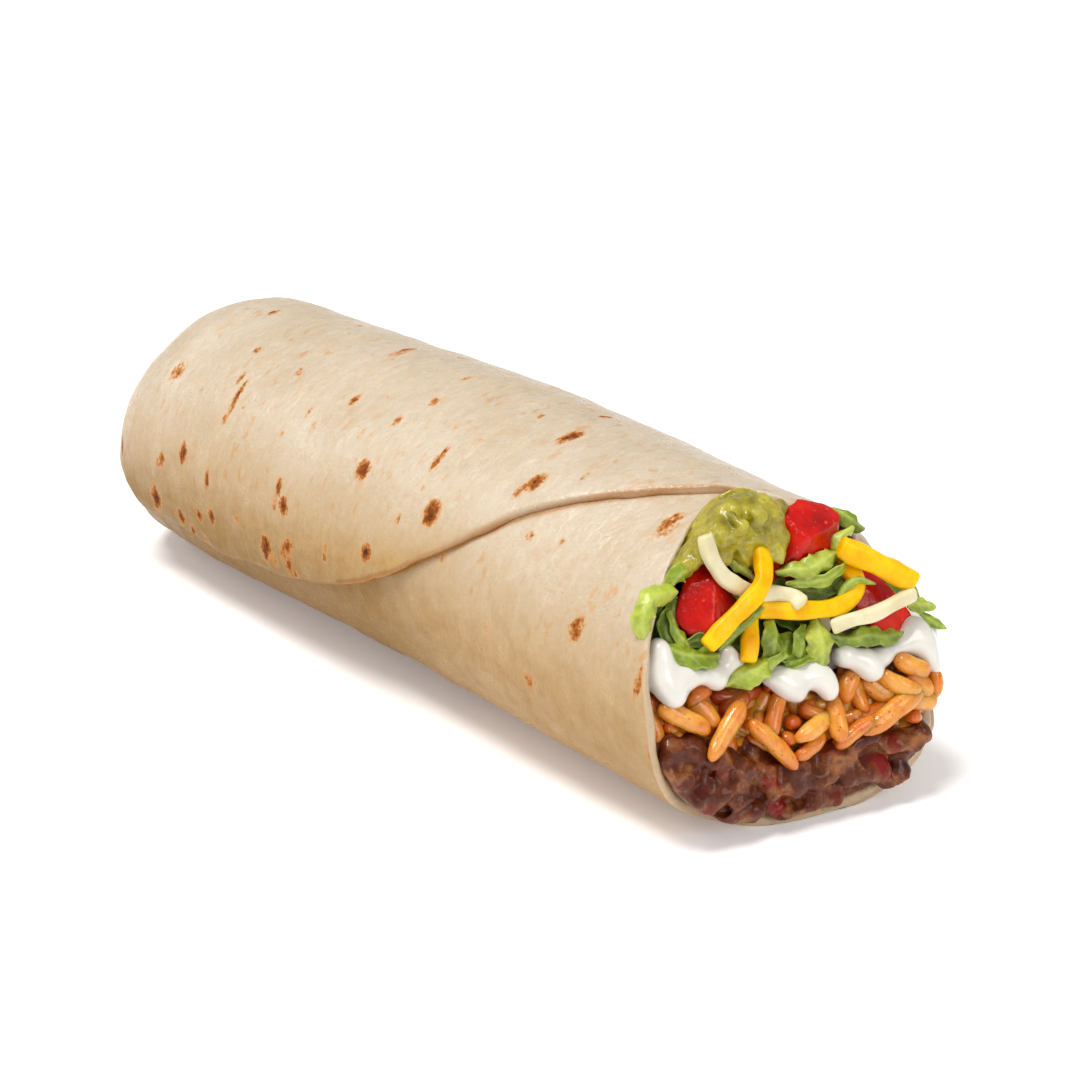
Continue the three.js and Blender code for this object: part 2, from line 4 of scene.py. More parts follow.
import bpy
import numpy as np
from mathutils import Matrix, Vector


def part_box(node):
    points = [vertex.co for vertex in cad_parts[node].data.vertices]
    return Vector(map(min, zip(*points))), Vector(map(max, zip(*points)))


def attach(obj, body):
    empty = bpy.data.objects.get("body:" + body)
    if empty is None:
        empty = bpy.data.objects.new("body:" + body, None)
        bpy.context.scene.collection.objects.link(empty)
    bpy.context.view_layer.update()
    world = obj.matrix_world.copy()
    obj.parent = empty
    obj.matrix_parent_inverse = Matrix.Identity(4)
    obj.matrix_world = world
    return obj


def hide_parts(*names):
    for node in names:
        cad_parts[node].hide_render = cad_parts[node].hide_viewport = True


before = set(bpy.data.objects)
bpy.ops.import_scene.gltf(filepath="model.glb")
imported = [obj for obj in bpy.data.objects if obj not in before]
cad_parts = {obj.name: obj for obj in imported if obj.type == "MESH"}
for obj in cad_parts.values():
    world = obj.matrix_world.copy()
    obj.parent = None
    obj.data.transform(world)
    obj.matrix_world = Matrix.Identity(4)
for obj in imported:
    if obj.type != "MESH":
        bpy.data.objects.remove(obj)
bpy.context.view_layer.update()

# Sizes are in millimetres in the roll's own frame: closed tip at x = 0, the open end
# toward +X, the ground at z = 0. Angles round the roll: 0 on top, 90 on the near side
# (-Y), 180 below. SHIFT takes that frame to the row frame.
TORTILLA_LOW = (-0.2, -28.2)  # the CAD tortilla's least x and y in the roll's own frame
node_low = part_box("tortilla")[0] * 1000
SHIFT = np.array([node_low.x - TORTILLA_LOW[0], node_low.y - TORTILLA_LOW[1], 0.0])

# ---- The roll, as in the CAD ----

SHEET = 1.7  # the tortilla's thickness
FLAP_LIFT = 0.8  # how far the flap's outside lies off the mean surface
SPIRAL_START = 30  # degrees from the flap's edge where that begins to fall
SPIRAL_TURN = 300  # degrees over which it falls by one sheet
LOWER_POWER = 2.22  # the section's lower half: 2 is an ellipse, more is boxier
UPPER_POWER = 1.88
BELLY = 0.49  # height of the widest place, as a share of the whole
SAG = 1.3  # depth of roll that the ground presses flat
END_TOP = 27.3  # lengths of the rounded closed end: on top,
END_SIDE = 23.1  # at the sides
END_BOTTOM = 11.4  # and underneath
END_POWER = 2.3
END_DROP = 9.5  # how far the closed tip lies below the belly
MEAN_LIP = 158  # station of the last row, which follows the lip
NEAR_TUCK = 1.4  # the near side is drawn in this far at the mouth
TUCK_START = 122  # beginning here,
TUCK_END = 164  # and in full here
SEAM_ROUNDS = 60  # enough to settle where the flap's edge crosses a row


def curve_through(points):
    """A smooth curve through [x, y] points that never overshoots them."""
    xs, ys = np.array(points, float).T
    slope = np.diff(ys) / np.diff(xs)
    tangent = np.concatenate([slope[:1], np.zeros(len(xs) - 2), slope[-1:]])
    before, after = slope[:-1], slope[1:]
    same = before * after > 0
    tangent[1:-1][same] = 2 * before[same] * after[same] / (before[same] + after[same])

    def curve(at):
        at = np.clip(np.asarray(at, float), xs[0], xs[-1])
        i = np.clip(np.searchsorted(xs, at) - 1, 0, len(xs) - 2)
        width = xs[i + 1] - xs[i]
        t = (at - xs[i]) / width
        s = 1 - t
        ends = ys[i] * s * s * (1 + 2 * t) + ys[i + 1] * t * t * (3 - 2 * t)
        return ends + width * t * s * (tangent[i] * s - tangent[i + 1] * t)

    return curve


HEIGHT = curve_through([
    [0, 47], [28, 47.7], [57, 48.4], [86, 48.5], [109, 47.6], [128, 46.5], [143, 45.6], [163, 44.7]])
HALF_WIDTH = curve_through([[0, 26.3], [38, 26.5], [86, 27.6], [124, 27.7], [163, 28.3]])
CENTRE_Y = curve_through([[0, 0.2], [48, -0.5], [105, 0.6], [163, -0.2]])
# The flap's edge: [distance from the closed tip, angle].
SEAM = curve_through([
    [0, 52], [5, 74], [10, 92], [15, 102], [21, 112], [36, 112], [49, 115], [55, 113], [62, 110],
    [71, 107], [79, 103.5], [91, 94.5], [99, 86.5], [108, 72.5], [115, 61], [122, 46.5], [130, 32],
    [137.7, 18], [142, 9], [144.5, 4], [147.8, -4], [149.7, -7], [151.6, -10], [153.9, -14]])
# The lip of the mouth: [angle, distance from the closed tip].
LIP = curve_through([
    [-60, 153.2], [-40, 153.4], [-22, 153.8], [-14, 153.2], [-10, 150.9], [-7, 149.6], [-4, 148.6],
    [0, 147.8], [4, 147.3], [9, 147.2], [18, 148.4], [27, 149.9], [61, 155.8], [97, 160.4],
    [120, 160.2], [140, 158.2], [152, 159.1], [172, 164.8], [196, 167.8], [223, 169.1],
    [236, 168.6], [244, 166.6], [262, 159.4], [280, 154.8], [300, 153.2]])
# How far the sheets reach in from the mean surface at the mouth: [angle, depth].
SHEET_DEPTH = curve_through([
    [-60, 2.6], [-44, 1.15], [0, 1.15], [20, 1.45], [45, 1.7], [110, 1.75], [150, 2.3], [175, 2.6],
    [300, 2.6]])
WRAP_FROM = -60  # the last two curves start at this angle

# The open face of the filling: x = FACE_X + FACE_Y * y + FACE_Z * z, drawn back below.
FACE_X = 172.3
FACE_Y = 0.22
FACE_Z = -0.44
FACE_FOOT = 14  # height under which the face curves back,
FOOT_CURVE = 0.04  # by this much times the square of the depth below it
FACE_OUT = np.array([1, -FACE_Y, -FACE_Z]) / math.hypot(1, FACE_Y, FACE_Z)
FACE_RIGHT = np.array([0, 1, 0]) - FACE_OUT * FACE_OUT[1]
FACE_RIGHT /= np.linalg.norm(FACE_RIGHT)
FACE_UP = np.cross(FACE_OUT, FACE_RIGHT)

# Layer boundaries across the roll: [y, z].
BEANS_TOP = curve_through([
    [-28, 19.2], [-17, 16.2], [-10, 14.3], [-4, 12], [8, 11.3], [20, 11.4], [28, 12]])
RICE_TOP = curve_through([
    [-28, 23], [-12, 21.8], [-4, 20.4], [4, 18.6], [14, 19], [20, 20.6], [28, 20]])
CREAM_TOP = curve_through([
    [-28, 30], [-14, 27], [-5, 24.2], [6, 24.2], [12, 23.8], [20, 25], [28, 25]])
SALAD_TOP = curve_through([[-28, 38], [-15, 37], [-4, 37.4], [3, 37], [6, 41], [9, 52], [28, 52]])


# ---- Small helpers ----

def smooth_step(value):
    t = np.clip(value, 0, 1)
    return t * t * (3 - 2 * t)


def rise(value, start, over):
    """From 0 to 1 as value goes on past start."""
    return smooth_step((value - start) / over)


def fall(value, end, over):
    """From 1 to 0 as value comes up to end."""
    return smooth_step((end - value) / over)


def bell(value, middle, width):
    return np.exp(-((value - middle) / width) ** 2)


def signed_power(value, power):
    return np.sign(value) * np.abs(value) ** power


def turned_to(angle, low):
    """The same angles in degrees, within the whole turn that starts at low."""
    return np.mod(np.asarray(angle, float) - low, 360) + low


def unit(vectors):
    length = np.linalg.norm(vectors, axis=-1, keepdims=True)
    return vectors / np.maximum(length, 1e-9)


def rgb(red, green, blue):
    """A linear colour from display values of 0 to 255."""
    def linear(value):
        value /= 255
        return value / 12.92 if value <= 0.04045 else ((value + 0.055) / 1.055) ** 2.4
    return (linear(red), linear(green), linear(blue), 1)


def hashed(i, j, k, seed):
    """A number from 0 to 1 for every whole-number place."""
    h = (i * 73856093) ^ (j * 19349663) ^ (k * 83492791) ^ (seed * 50331653)
    h = (h & 0xFFFFFFFF).astype(np.uint64)
    h = ((h ^ (h >> np.uint64(15))) * np.uint64(2246822519)) & np.uint64(0xFFFFFFFF)
    h = ((h ^ (h >> np.uint64(13))) * np.uint64(3266489917)) & np.uint64(0xFFFFFFFF)
    return (h ^ (h >> np.uint64(16))).astype(float) / 0xFFFFFFFF


NOISE_TURN = np.array([[0.36, 0.48, -0.8], [-0.8, 0.6, 0], [0.48, 0.64, 0.6]])


def lumpiness(points, size, seed):
    """Smooth noise from -1 to 1 at each point, in lumps of about size mm."""
    place = (points @ NOISE_TURN) / size
    cell = np.floor(place).astype(np.int64)
    t = place - cell
    t = t * t * t * (t * (6 * t - 15) + 10)
    total = np.zeros(points.shape[:-1])
    for corner in itertools.product((0, 1), repeat=3):
        sides = [t[..., k] if corner[k] else 1 - t[..., k] for k in range(3)]
        total += sides[0] * sides[1] * sides[2] * hashed(*np.moveaxis(cell + corner, -1, 0), seed)
    return 2 * total - 1


def lumps(points, *scales):
    """Lumpiness on several scales: each [height, size, seed]."""
    return sum(height * lumpiness(points, size, seed) for height, size, seed in scales)


def lengths_along(points):
    """The distance along a line of points, at each of them."""
    steps = np.linalg.norm(np.diff(points, axis=0), axis=1)
    return np.concatenate([[0], np.cumsum(steps)])


# ---- The roll's surface ----

def near_tuck(x):
    return NEAR_TUCK * rise(x, TUCK_START, TUCK_END - TUCK_START)


def mean_point(x, angle):
    """The roll's mean surface, before it is pressed flat underneath."""
    x, angle = np.broadcast_arrays(np.asarray(x, float), np.asarray(angle, float))
    c, s = np.cos(np.radians(angle)), np.sin(np.radians(angle))
    power = 2 / np.where(c > 0, UPPER_POWER, LOWER_POWER)
    height = HEIGHT(x)
    belly = BELLY * height
    half = HALF_WIDTH(x) - np.where(s > 0, near_tuck(x), 0)
    reach = np.where(c > 0, height - belly, belly + SAG)
    end = END_SIDE + np.where(c > 0, END_TOP - END_SIDE, END_SIDE - END_BOTTOM) * c
    u = np.clip(1 - x / end, 0, 1)
    rounding = (1 - u ** END_POWER) ** (1 / END_POWER)
    y = CENTRE_Y(x) - half * signed_power(s, power) * rounding
    z = belly + reach * signed_power(c, power) * rounding - END_DROP * (1 - rounding)
    return np.stack([x, y, z], -1)


def roll_frame(x, angle):
    """The mean surface's outward normal, and its directions along and round the roll."""
    step_x, step_angle = 0.2, 1
    at = np.maximum(x, step_x)
    along = mean_point(at + step_x, angle) - mean_point(at - step_x, angle)
    around = mean_point(at, angle + step_angle) - mean_point(at, angle - step_angle)
    return unit(np.cross(around, along)), unit(along), unit(around)


def lip_at(angle):
    return LIP(turned_to(angle, WRAP_FROM))


def sheet_depth(angle):
    """How far the sheets reach in at the mouth: one sheet on top, where the flap ends."""
    return SHEET_DEPTH(turned_to(angle, WRAP_FROM))


def row_x(station, angle):
    """Rows are rings at the closed end and lean over to follow the lip at the mouth."""
    return station + (lip_at(angle) - MEAN_LIP) * (station / MEAN_LIP) ** 4


def seam_on_row(station):
    angle = SEAM(station)
    for _ in range(SEAM_ROUNDS):
        angle = SEAM(row_x(station, angle))
    return angle


def spiral_lift(turned):
    """How far the outside lies off the mean surface, by the angle from the flap's edge."""
    return FLAP_LIFT - SHEET * np.clip((turned - SPIRAL_START) / SPIRAL_TURN, 0, 1)


def face_x(y, z):
    below = np.maximum(FACE_FOOT - np.asarray(z, float), 0)
    return FACE_X + FACE_Y * y + FACE_Z * z - FOOT_CURVE * below * below


def on_face(y, z, out):
    """A place on the open face, out from it by some distance."""
    y, z, out = (np.asarray(v, float) for v in (y, z, out))
    return np.stack([face_x(y, z), y, z], -1) + out[..., None] * FACE_OUT


def line_on_face(places):
    return np.array([on_face(*place) for place in places])


def swept(path, across, out, u, v):
    """Points that lie u across and v out from each place of a path."""
    across, out = (np.atleast_2d(way)[:, None, :] for way in (across, out))
    return path[:, None, :] + u[..., None] * across + v[..., None] * out


# ---- Meshes ----

def add_piece(name, points, faces, look, cad_node, attributes):
    """A piece of the burrito from points in mm, which stands for a CAD node."""
    mesh = bpy.data.meshes.new(name)
    corners = [face for group in faces for face in group.tolist()]
    mesh.from_pydata(((points + SHIFT) / 1000).tolist(), [], corners)
    for key, values in attributes.items():
        made = mesh.attributes.new(key, "FLOAT", "POINT")
        made.data.foreach_set("value", np.asarray(values, np.float32))
    mesh.materials.append(look.material)
    mesh.polygons.foreach_set("use_smooth", np.ones(len(mesh.polygons), bool))
    mesh.validate()
    mesh.update()
    piece = bpy.data.objects.new(name, mesh)
    bpy.context.scene.collection.objects.link(piece)
    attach(piece, "root")
    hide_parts(cad_node)


def grid_faces(rows, columns):
    """Quads between closed rows of points."""
    i = np.arange(rows - 1)[:, None]
    j = np.arange(columns)[None, :]
    k = (j + 1) % columns
    quads = [i * columns + j, i * columns + k, (i + 1) * columns + k, (i + 1) * columns + j]
    return np.stack(np.broadcast_arrays(*quads), -1).reshape(-1, 4)


def fan_faces(centre, first, columns, flipped):
    """Triangles from a centre point to the row that starts at a point."""
    j = np.arange(columns)
    k = (j + 1) % columns
    ring = [first + k, first + j] if flipped else [first + j, first + k]
    return np.stack([np.full(columns, centre), *ring], -1)


def tube_faces(rows, columns):
    """Closed rows with a fan over each end. The fans' two centres come last."""
    count = rows * columns
    return [grid_faces(rows, columns), fan_faces(count, 0, columns, True),
            fan_faces(count + 1, count - columns, columns, False)]


class Heap:
    """Collects points, faces and attributes of many small shapes into one piece."""

    def __init__(self):
        self.points, self.faces, self.attributes, self.count = [], [], {}, 0

    def add(self, points, faces, **attributes):
        self.points.append(points)
        self.faces += [group + self.count for group in faces]
        for key, values in attributes.items():
            self.attributes.setdefault(key, []).append(np.broadcast_to(values, len(points)))
        self.count += len(points)

    def finish(self, name, look, cad_node):
        attributes = {key: np.concatenate(parts) for key, parts in self.attributes.items()}
        add_piece(name, np.concatenate(self.points), self.faces, look, cad_node, attributes)


def along_axis(axis, start, stop):
    """An index that cuts a grid along one axis and leaves the others whole."""
    cut = [slice(None)] * 3
    cut[axis] = slice(start, stop)
    return tuple(cut)


def surface_of(field, low, step, rounds):
    """Smooth points and quads where a grid of distances crosses zero."""
    size = np.array(field.shape) - 1
    total = np.zeros((*size, 3))
    count = np.zeros(size)
    inside = field < 0
    index = np.stack(np.indices(field.shape), -1).astype(float)
    crossings = []
    for axis in range(3):
        p, q = [a for a in range(3) if a != axis]
        first, second = along_axis(axis, 0, -1), along_axis(axis, 1, None)
        a, b = field[first], field[second]
        crossed = inside[first] != inside[second]
        place = index[first].copy()
        place[..., axis] += np.where(crossed, a / np.where(crossed, a - b, 1), 0)
        for sides in itertools.product((0, 1), repeat=2):
            edge, cell = [slice(None)] * 3, [slice(None)] * 3
            for other, side in zip((p, q), sides):
                edge[other] = slice(side, size[other] + side)
                cell[other] = slice(0, size[other])
            hit = crossed[tuple(edge)]
            total[tuple(cell)] += np.where(hit[..., None], place[tuple(edge)], 0)
            count[tuple(cell)] += hit
        crossings.append((axis, p, q, crossed, inside[first]))
    used = count > 0
    number = np.full(used.shape, -1)
    number[used] = np.arange(used.sum())
    points = low + step * total[used] / count[used][:, None]
    quads = []
    for axis, p, q, crossed, starts_inside in crossings:
        at = np.argwhere(crossed)
        within = (at > 0) & (at < used.shape)
        at = at[within[:, p] & within[:, q]]
        ring = []
        for back_p, back_q in ((1, 1), (0, 1), (0, 0), (1, 0)):
            cell = at.copy()
            cell[:, p] -= back_p
            cell[:, q] -= back_q
            ring.append(number[tuple(cell.T)])
        quad = np.stack(ring, -1)
        outward = starts_inside[tuple(at.T)] ^ (axis == 1)
        quads.append(np.where(outward[:, None], quad, quad[:, ::-1]))
    quads = np.concatenate(quads)
    return smoothed(points, quads, rounds), [quads]


def smoothed(points, quads, rounds):
    """Each round evens the points out, then pushes back by a little more, which keeps
    the shape from shrinking."""
    edges = np.concatenate([quads[:, [k, (k + 1) % 4]] for k in range(4)])
    start, end = edges.T
    degree = np.bincount(edges.ravel(), minlength=len(points))[:, None]
    for _ in range(rounds):
        for share in (0.5, -0.52):
            total = [np.bincount(start, row[end], len(row)) + np.bincount(end, row[start], len(row))
                     for row in points.T]
            points = points + share * (np.stack(total, -1) / degree - points)
    return points


def space(low, high, step):
    """A grid of points that fills a box."""
    axes = [np.arange(a, b + step, step) for a, b in zip(low, high)]
    return np.stack(np.meshgrid(*axes, indexing="ij"), -1)


def blend_min(a, b, width):
    h = np.clip(0.5 + 0.5 * (b - a) / width, 0, 1)
    return b * (1 - h) + a * h - width * h * (1 - h)


def blend_max(a, b, width):
    return -blend_min(-a, -b, width)


# ---- Distances ----

WALL_RADIUS = 22  # turns the wall's share of size into about a distance
CLEAR_OF_SHEET = 0.3  # the filling stays this far above the tortilla's floor


def turned_axes(turn):
    """The face's right, up and out, spun by some degrees."""
    t = math.radians(turn)
    right = math.cos(t) * FACE_RIGHT + math.sin(t) * FACE_UP
    up = -math.sin(t) * FACE_RIGHT + math.cos(t) * FACE_UP
    return np.stack([right, up, FACE_OUT])


def ball_distance(grid, centre, axes, radii):
    """About how far points lie outside an ellipsoid."""
    place = (grid - centre) @ axes.T / np.asarray(radii, float)
    k = np.linalg.norm(place, axis=-1)
    slope = np.linalg.norm(place / np.asarray(radii, float), axis=-1)
    return k * (k - 1) / np.maximum(slope, 1e-6)


def lump_distance(points, place, lump):
    """About how far points lie outside a lump: [y, z, out, half sizes, turn]."""
    y, z, out, wide, high, deep, turn = (*lump, 0)[:7]
    return ball_distance(points, place(y, z, out), turned_axes(turn), (wide, high, deep))


def with_lumps(field, grid, place, lump_list, soft, proud=0):
    """A field with each of the lumps blended on to it."""
    for lump in lump_list:
        field = blend_min(field, lump_distance(grid, place, lump) - proud, soft)
    return field


def shade_of(lump_list, place, spread, ragged=0):
    """A shade for the points in any lump. A lump's eighth number is its strength."""
    def shade(points):
        rough = ragged * lumpiness(points, 2, 44)
        total = np.zeros(len(points))
        for lump in lump_list:
            strength = lump[7] if len(lump) > 7 else 1
            near = lump_distance(points, place, lump) + rough
            total = np.maximum(total, strength * fall(near / spread, 0.5, 1))
        return total
    return shade


def wall_distance(grid, inset):
    """About how far points lie outside the roll's mean surface moved in by inset."""
    x, y, z = grid[..., 0], grid[..., 1], grid[..., 2]
    height = HEIGHT(x)
    belly = BELLY * height
    across, up = y - CENTRE_Y(x), z - belly
    half = HALF_WIDTH(x) - np.where(across < 0, near_tuck(x), 0) - inset
    reach = np.where(up > 0, height - belly, belly + SAG) - inset
    power = np.where(up > 0, UPPER_POWER, LOWER_POWER)
    size = (np.abs(across / half) ** power + np.abs(up / reach) ** power) ** (1 / power)
    return np.maximum((size - 1) * WALL_RADIUS, SHEET + CLEAR_OF_SHEET - z)


def face_distance(grid, recess):
    """How far points lie in front of the open face moved back by recess."""
    return (grid[..., 0] - face_x(grid[..., 1], grid[..., 2])) * FACE_OUT[0] + recess


# ---- Materials ----

class Look:
    """A material of nodes on the Principled shader. Colours are display values to 255."""

    def __init__(self, name, colour, rough, specular, soft=(0, (1, 1, 1), 1), coat=(0, 0.03)):
        """Soft is the subsurface's weight, radius and scale in mm; coat is its weight
        and roughness. The colour stands in where the nodes aren't read."""
        self.material = bpy.data.materials.new(name)
        self.material.use_nodes = True
        self.tree = self.material.node_tree
        self.shader = self.tree.nodes["Principled BSDF"]
        settings = {
            "Base Color": rgb(*colour), "Roughness": rough, "Specular IOR Level": specular,
            "Subsurface Weight": soft[0], "Subsurface Radius": soft[1],
            "Subsurface Scale": soft[2] / 1000, "Coat Weight": coat[0],
            "Coat Roughness": coat[1]}
        for key, value in settings.items():
            self.shader.inputs[key].default_value = value
        self.place = self.node("ShaderNodeTexCoord", output="Object")
        self.base = None
        self.relief = None

    def node(self, kind, inputs=(), output=0, **settings):
        """A new node's output. Its inputs are sockets to link or values to set."""
        made = self.tree.nodes.new(kind)
        for key, value in settings.items():
            setattr(made, key, value)
        for key, value in dict(inputs).items():
            if isinstance(value, bpy.types.NodeSocket):
                self.tree.links.new(value, made.inputs[key])
            else:
                made.inputs[key].default_value = value
        return made.outputs[output]

    def round_the_roll(self, squeeze):
        """Places that draw patterns out round the roll."""
        scale = (1, squeeze, squeeze)
        return self.node("ShaderNodeMapping", {"Vector": self.place, "Scale": scale})

    def noise(self, size_mm, detail=3, roughness=0.5, place=None):
        return self.node("ShaderNodeTexNoise", {
            "Vector": self.place if place is None else place, "Scale": 1000 / size_mm,
            "Detail": detail, "Roughness": roughness})

    def attribute(self, name):
        return self.node("ShaderNodeAttribute", output="Fac", attribute_name=name)

    def maths(self, a, operation, b):
        return self.node("ShaderNodeMath", {0: a, 1: b}, operation=operation)

    def span(self, value, low, high, to_low=0, to_high=1):
        """Value's range from low to high, drawn out to another range and clamped."""
        return self.node("ShaderNodeMapRange", {
            "Value": value, "From Min": low, "From Max": high, "To Min": to_low,
            "To Max": to_high})

    def ramp(self, factor, *stops):
        """Colours along a factor: stops are (position, colour)."""
        made = self.node("ShaderNodeValToRGB", {"Fac": factor})
        elements = made.node.color_ramp.elements
        while len(elements) < len(stops):
            elements.new(0.5)
        for element, (position, colour) in zip(elements, stops):
            element.position = position
            element.color = rgb(*colour)
        return made

    def cover(self, share, colour):
        """Lays a colour over a share of the base colour."""
        value = rgb(*colour) if isinstance(colour, tuple) else colour
        self.base = self.node("ShaderNodeMix", {0: share, 6: self.base, 7: value},
                              output=2, data_type="RGBA")

    def specks(self, size_mm, low, high, strength, colour, detail=2):
        self.cover(self.span(self.noise(size_mm, detail), low, high, 0, strength), colour)

    def bump(self, height, depth_mm, strength):
        """Raises the surface by height times depth, on top of the bumps made before."""
        inputs = {"Height": height, "Distance": depth_mm / 1000, "Strength": strength}
        if self.relief is not None:
            inputs["Normal"] = self.relief
        self.relief = self.node("ShaderNodeBump", inputs)

    def grain(self, *scales):
        """Bumps of noise, the finest first: each [size, detail, depth, strength]."""
        for size_mm, detail, depth_mm, strength in scales:
            self.bump(self.noise(size_mm, detail), depth_mm, strength)

    def done(self, rough=None, specular=None):
        """Links the shader's sockets to what was made for them."""
        links = {"Base Color": self.base, "Normal": self.relief, "Roughness": rough,
                 "Specular IOR Level": specular}
        for key, value in links.items():
            if value is not None:
                self.tree.links.new(value, self.shader.inputs[key])
        return self


def tortilla_look():
    look = Look("tortilla", (200, 182, 154), 0.4, 0.7, (0.2, (0.9, 0.55, 0.3), 1.2))
    around = look.round_the_roll(0.5)
    mottle = look.noise(3.2, 6, 0.7)
    fleck = look.noise(1.2, 3, 0.6, around)
    grain = look.noise(0.55, 3, 0.6)
    look.base = look.ramp(look.noise(13, 5, 0.6), (0.3, (195, 175, 146)),
                          (0.5, (202, 184, 158)), (0.7, (208, 193, 172)))
    look.cover(look.span(mottle, 0.5, 0.68, 0, 0.4), (198, 166, 122))
    look.cover(look.span(fleck, 0.54, 0.68, 0, 0.3), (222, 209, 188))
    look.cover(look.span(fleck, 0.44, 0.3, 0, 0.3), (194, 160, 116))
    # Small orange-tan freckles, in loose patches.
    patch = look.span(look.noise(18, 2), 0.38, 0.6, 0, 0.7)
    dots = look.span(look.noise(1.7, 3, 0.55, around), 0.59, 0.68)
    look.cover(look.maths(dots, "MULTIPLY", patch), (202, 146, 88))
    # The underside and the flap's edge are tan: partly a real toasting, partly painted shade.
    tan_and_shade_colour = look.ramp(look.span(mottle, 0.36, 0.66), (0, (190, 149, 80)), (1, (174, 130, 58)))
    look.cover(look.attribute("tan_and_shade"), tan_and_shade_colour)
    # Painted shade over the low side of the roll, deepest as a painted shadow under the flap's edge.
    shade = look.attribute("shade")
    look.cover(shade, (122, 88, 34))
    # A painted shadow line along the seam, just under the flap's edge.
    look.cover(look.attribute("seam_shadow"), (168, 112, 50))
    # Toasted spots, broken into fine streaks round the roll.
    streak = look.noise(0.8, 3, 0.65, look.round_the_roll(0.4))
    ragged = look.span(streak, 0, 1, -0.55, 0.55)
    flaky = look.maths(grain, "SUBTRACT", 0.5)
    soft = look.attribute("spot")
    spot = look.maths(look.maths(soft, "ADD", ragged), "ADD", flaky)
    spot = look.maths(spot, "MULTIPLY", look.span(soft, 0.04, 0.3))
    browned = look.span(spot, 0.02, 0.4)
    look.cover(browned, look.ramp(spot, (0.05, (212, 164, 104)), (0.34, (190, 124, 62)),
                                  (0.62, (138, 76, 32)), (1, (80, 38, 14))))
    # The low side is duller, so that the pale floor doesn't wash its colour out.
    dulled = look.span(shade, 0, 0.6, 1, 0.15)
    gloss = look.maths(look.span(browned, 0, 1, 0.7, 0.03), "MULTIPLY", dulled)
    look.bump(grain, 0.11, 0.8)
    look.bump(fleck, 0.17, 0.8)
    look.bump(mottle, 0.3, 0.8)
    look.bump(look.noise(5, 3, place=around), 0.45, 0.8)
    return look.done(look.span(mottle, 0.35, 0.65, 0.25, 0.42), gloss)


def beans_look():
    look = Look("beans", (120, 80, 58), 0.3, 0.12, (0.3, (0.8, 0.4, 0.2), 1.2), (0.3, 0.07))
    look.base = look.ramp(look.noise(3.6, 5, 0.62), (0.34, (70, 24, 11)), (0.5, (98, 45, 20)),
                          (0.66, (156, 100, 60)))
    look.specks(1.5, 0.58, 0.7, 0.6, (84, 26, 13), 3)
    look.cover(look.maths(look.attribute("skin"), "MULTIPLY", 1.3), (122, 20, 12))
    look.grain([0.6, 3, 0.12, 0.7], [1.8, 4, 0.4, 0.8])
    return look.done(look.span(look.noise(3), 0.35, 0.65, 0.24, 0.5))


def rice_look():
    look = Look("rice", (232, 156, 76), 0.3, 0.5, (0.6, (1.2, 0.6, 0.15), 1.6), (0.5, 0.06))
    # The tone holds each grain's own colour, with painted shade on the deeper grains and the bed.
    look.base = look.ramp(look.attribute("tone"), (0, (162, 54, 4)), (0.25, (204, 106, 14)),
                          (0.6, (220, 142, 36)), (1, (236, 176, 72)))
    look.cover(look.span(look.noise(2, 4, 0.6), 0.48, 0.68, 0, 0.6), (208, 96, 10))
    look.specks(0.7, 0.66, 0.7, 0.8, (190, 44, 10))
    look.grain([0.5, 3, 0.07, 0.7], [1.2, 4, 0.26, 0.8])
    return look.done()


def cream_look():
    look = Look("sour_cream", (232, 231, 227), 0.22, 0.5, (0.35, (0.8, 0.8, 0.8), 1), (0.6, 0.05))
    look.base = look.ramp(look.noise(5), (0.35, (224, 221, 213)), (0.65, (233, 229, 219)))
    look.grain([1.6, 3, 0.08, 0.5])
    return look.done(look.span(look.noise(2.5, 2), 0.3, 0.7, 0.13, 0.27))


def lettuce_look():
    look = Look("lettuce", (128, 165, 44), 0.4, 0.45, (0.35, (0.5, 0.8, 0.15), 1.4))
    tone = look.attribute("tone")
    # The low end of the tone is painted shade on the deep leaves and the bed behind them.
    look.base = look.ramp(tone, (0, (50, 60, 9)), (0.35, (92, 118, 20)),
                          (0.7, (144, 164, 36)), (1, (186, 197, 76)))
    blotch = look.noise(2, 4, 0.6)
    look.cover(look.span(blotch, 0.42, 0.7, 0, 0.6), (62, 88, 10))
    look.cover(look.span(blotch, 0.42, 0.26, 0, 0.4), (190, 204, 84))
    look.cover(look.maths(look.attribute("rib"), "MULTIPLY", 0.62), (204, 214, 112))
    look.bump(look.noise(0.5, 3, 0.6), 0.08, 0.6)
    look.grain([1.5, 3, 0.22, 0.7])
    # The deep leaves are dull, so that the gaps between the others stay dark.
    return look.done(look.span(tone, 0.05, 0.4, 0.8, 0.34), look.span(tone, 0.05, 0.4, 0.08, 0.45))


def guacamole_look():
    look = Look("guacamole", (170, 166, 62), 0.28, 0.4, (0.35, (0.9, 0.9, 0.25), 1.2), (0.4, 0.04))
    look.base = look.ramp(look.noise(3.2, 5, 0.62), (0.3, (120, 109, 14)),
                          (0.5, (162, 149, 28)), (0.7, (194, 184, 66)))
    look.specks(1, 0.64, 0.72, 0.5, (104, 112, 24))
    look.cover(look.attribute("chip"), (190, 84, 48))
    look.cover(look.attribute("dark"), (38, 30, 16))
    look.grain([0.55, 3, 0.12, 0.7], [1.5, 3, 0.42, 0.8])
    return look.done(look.span(look.noise(2), 0.35, 0.65, 0.18, 0.42))


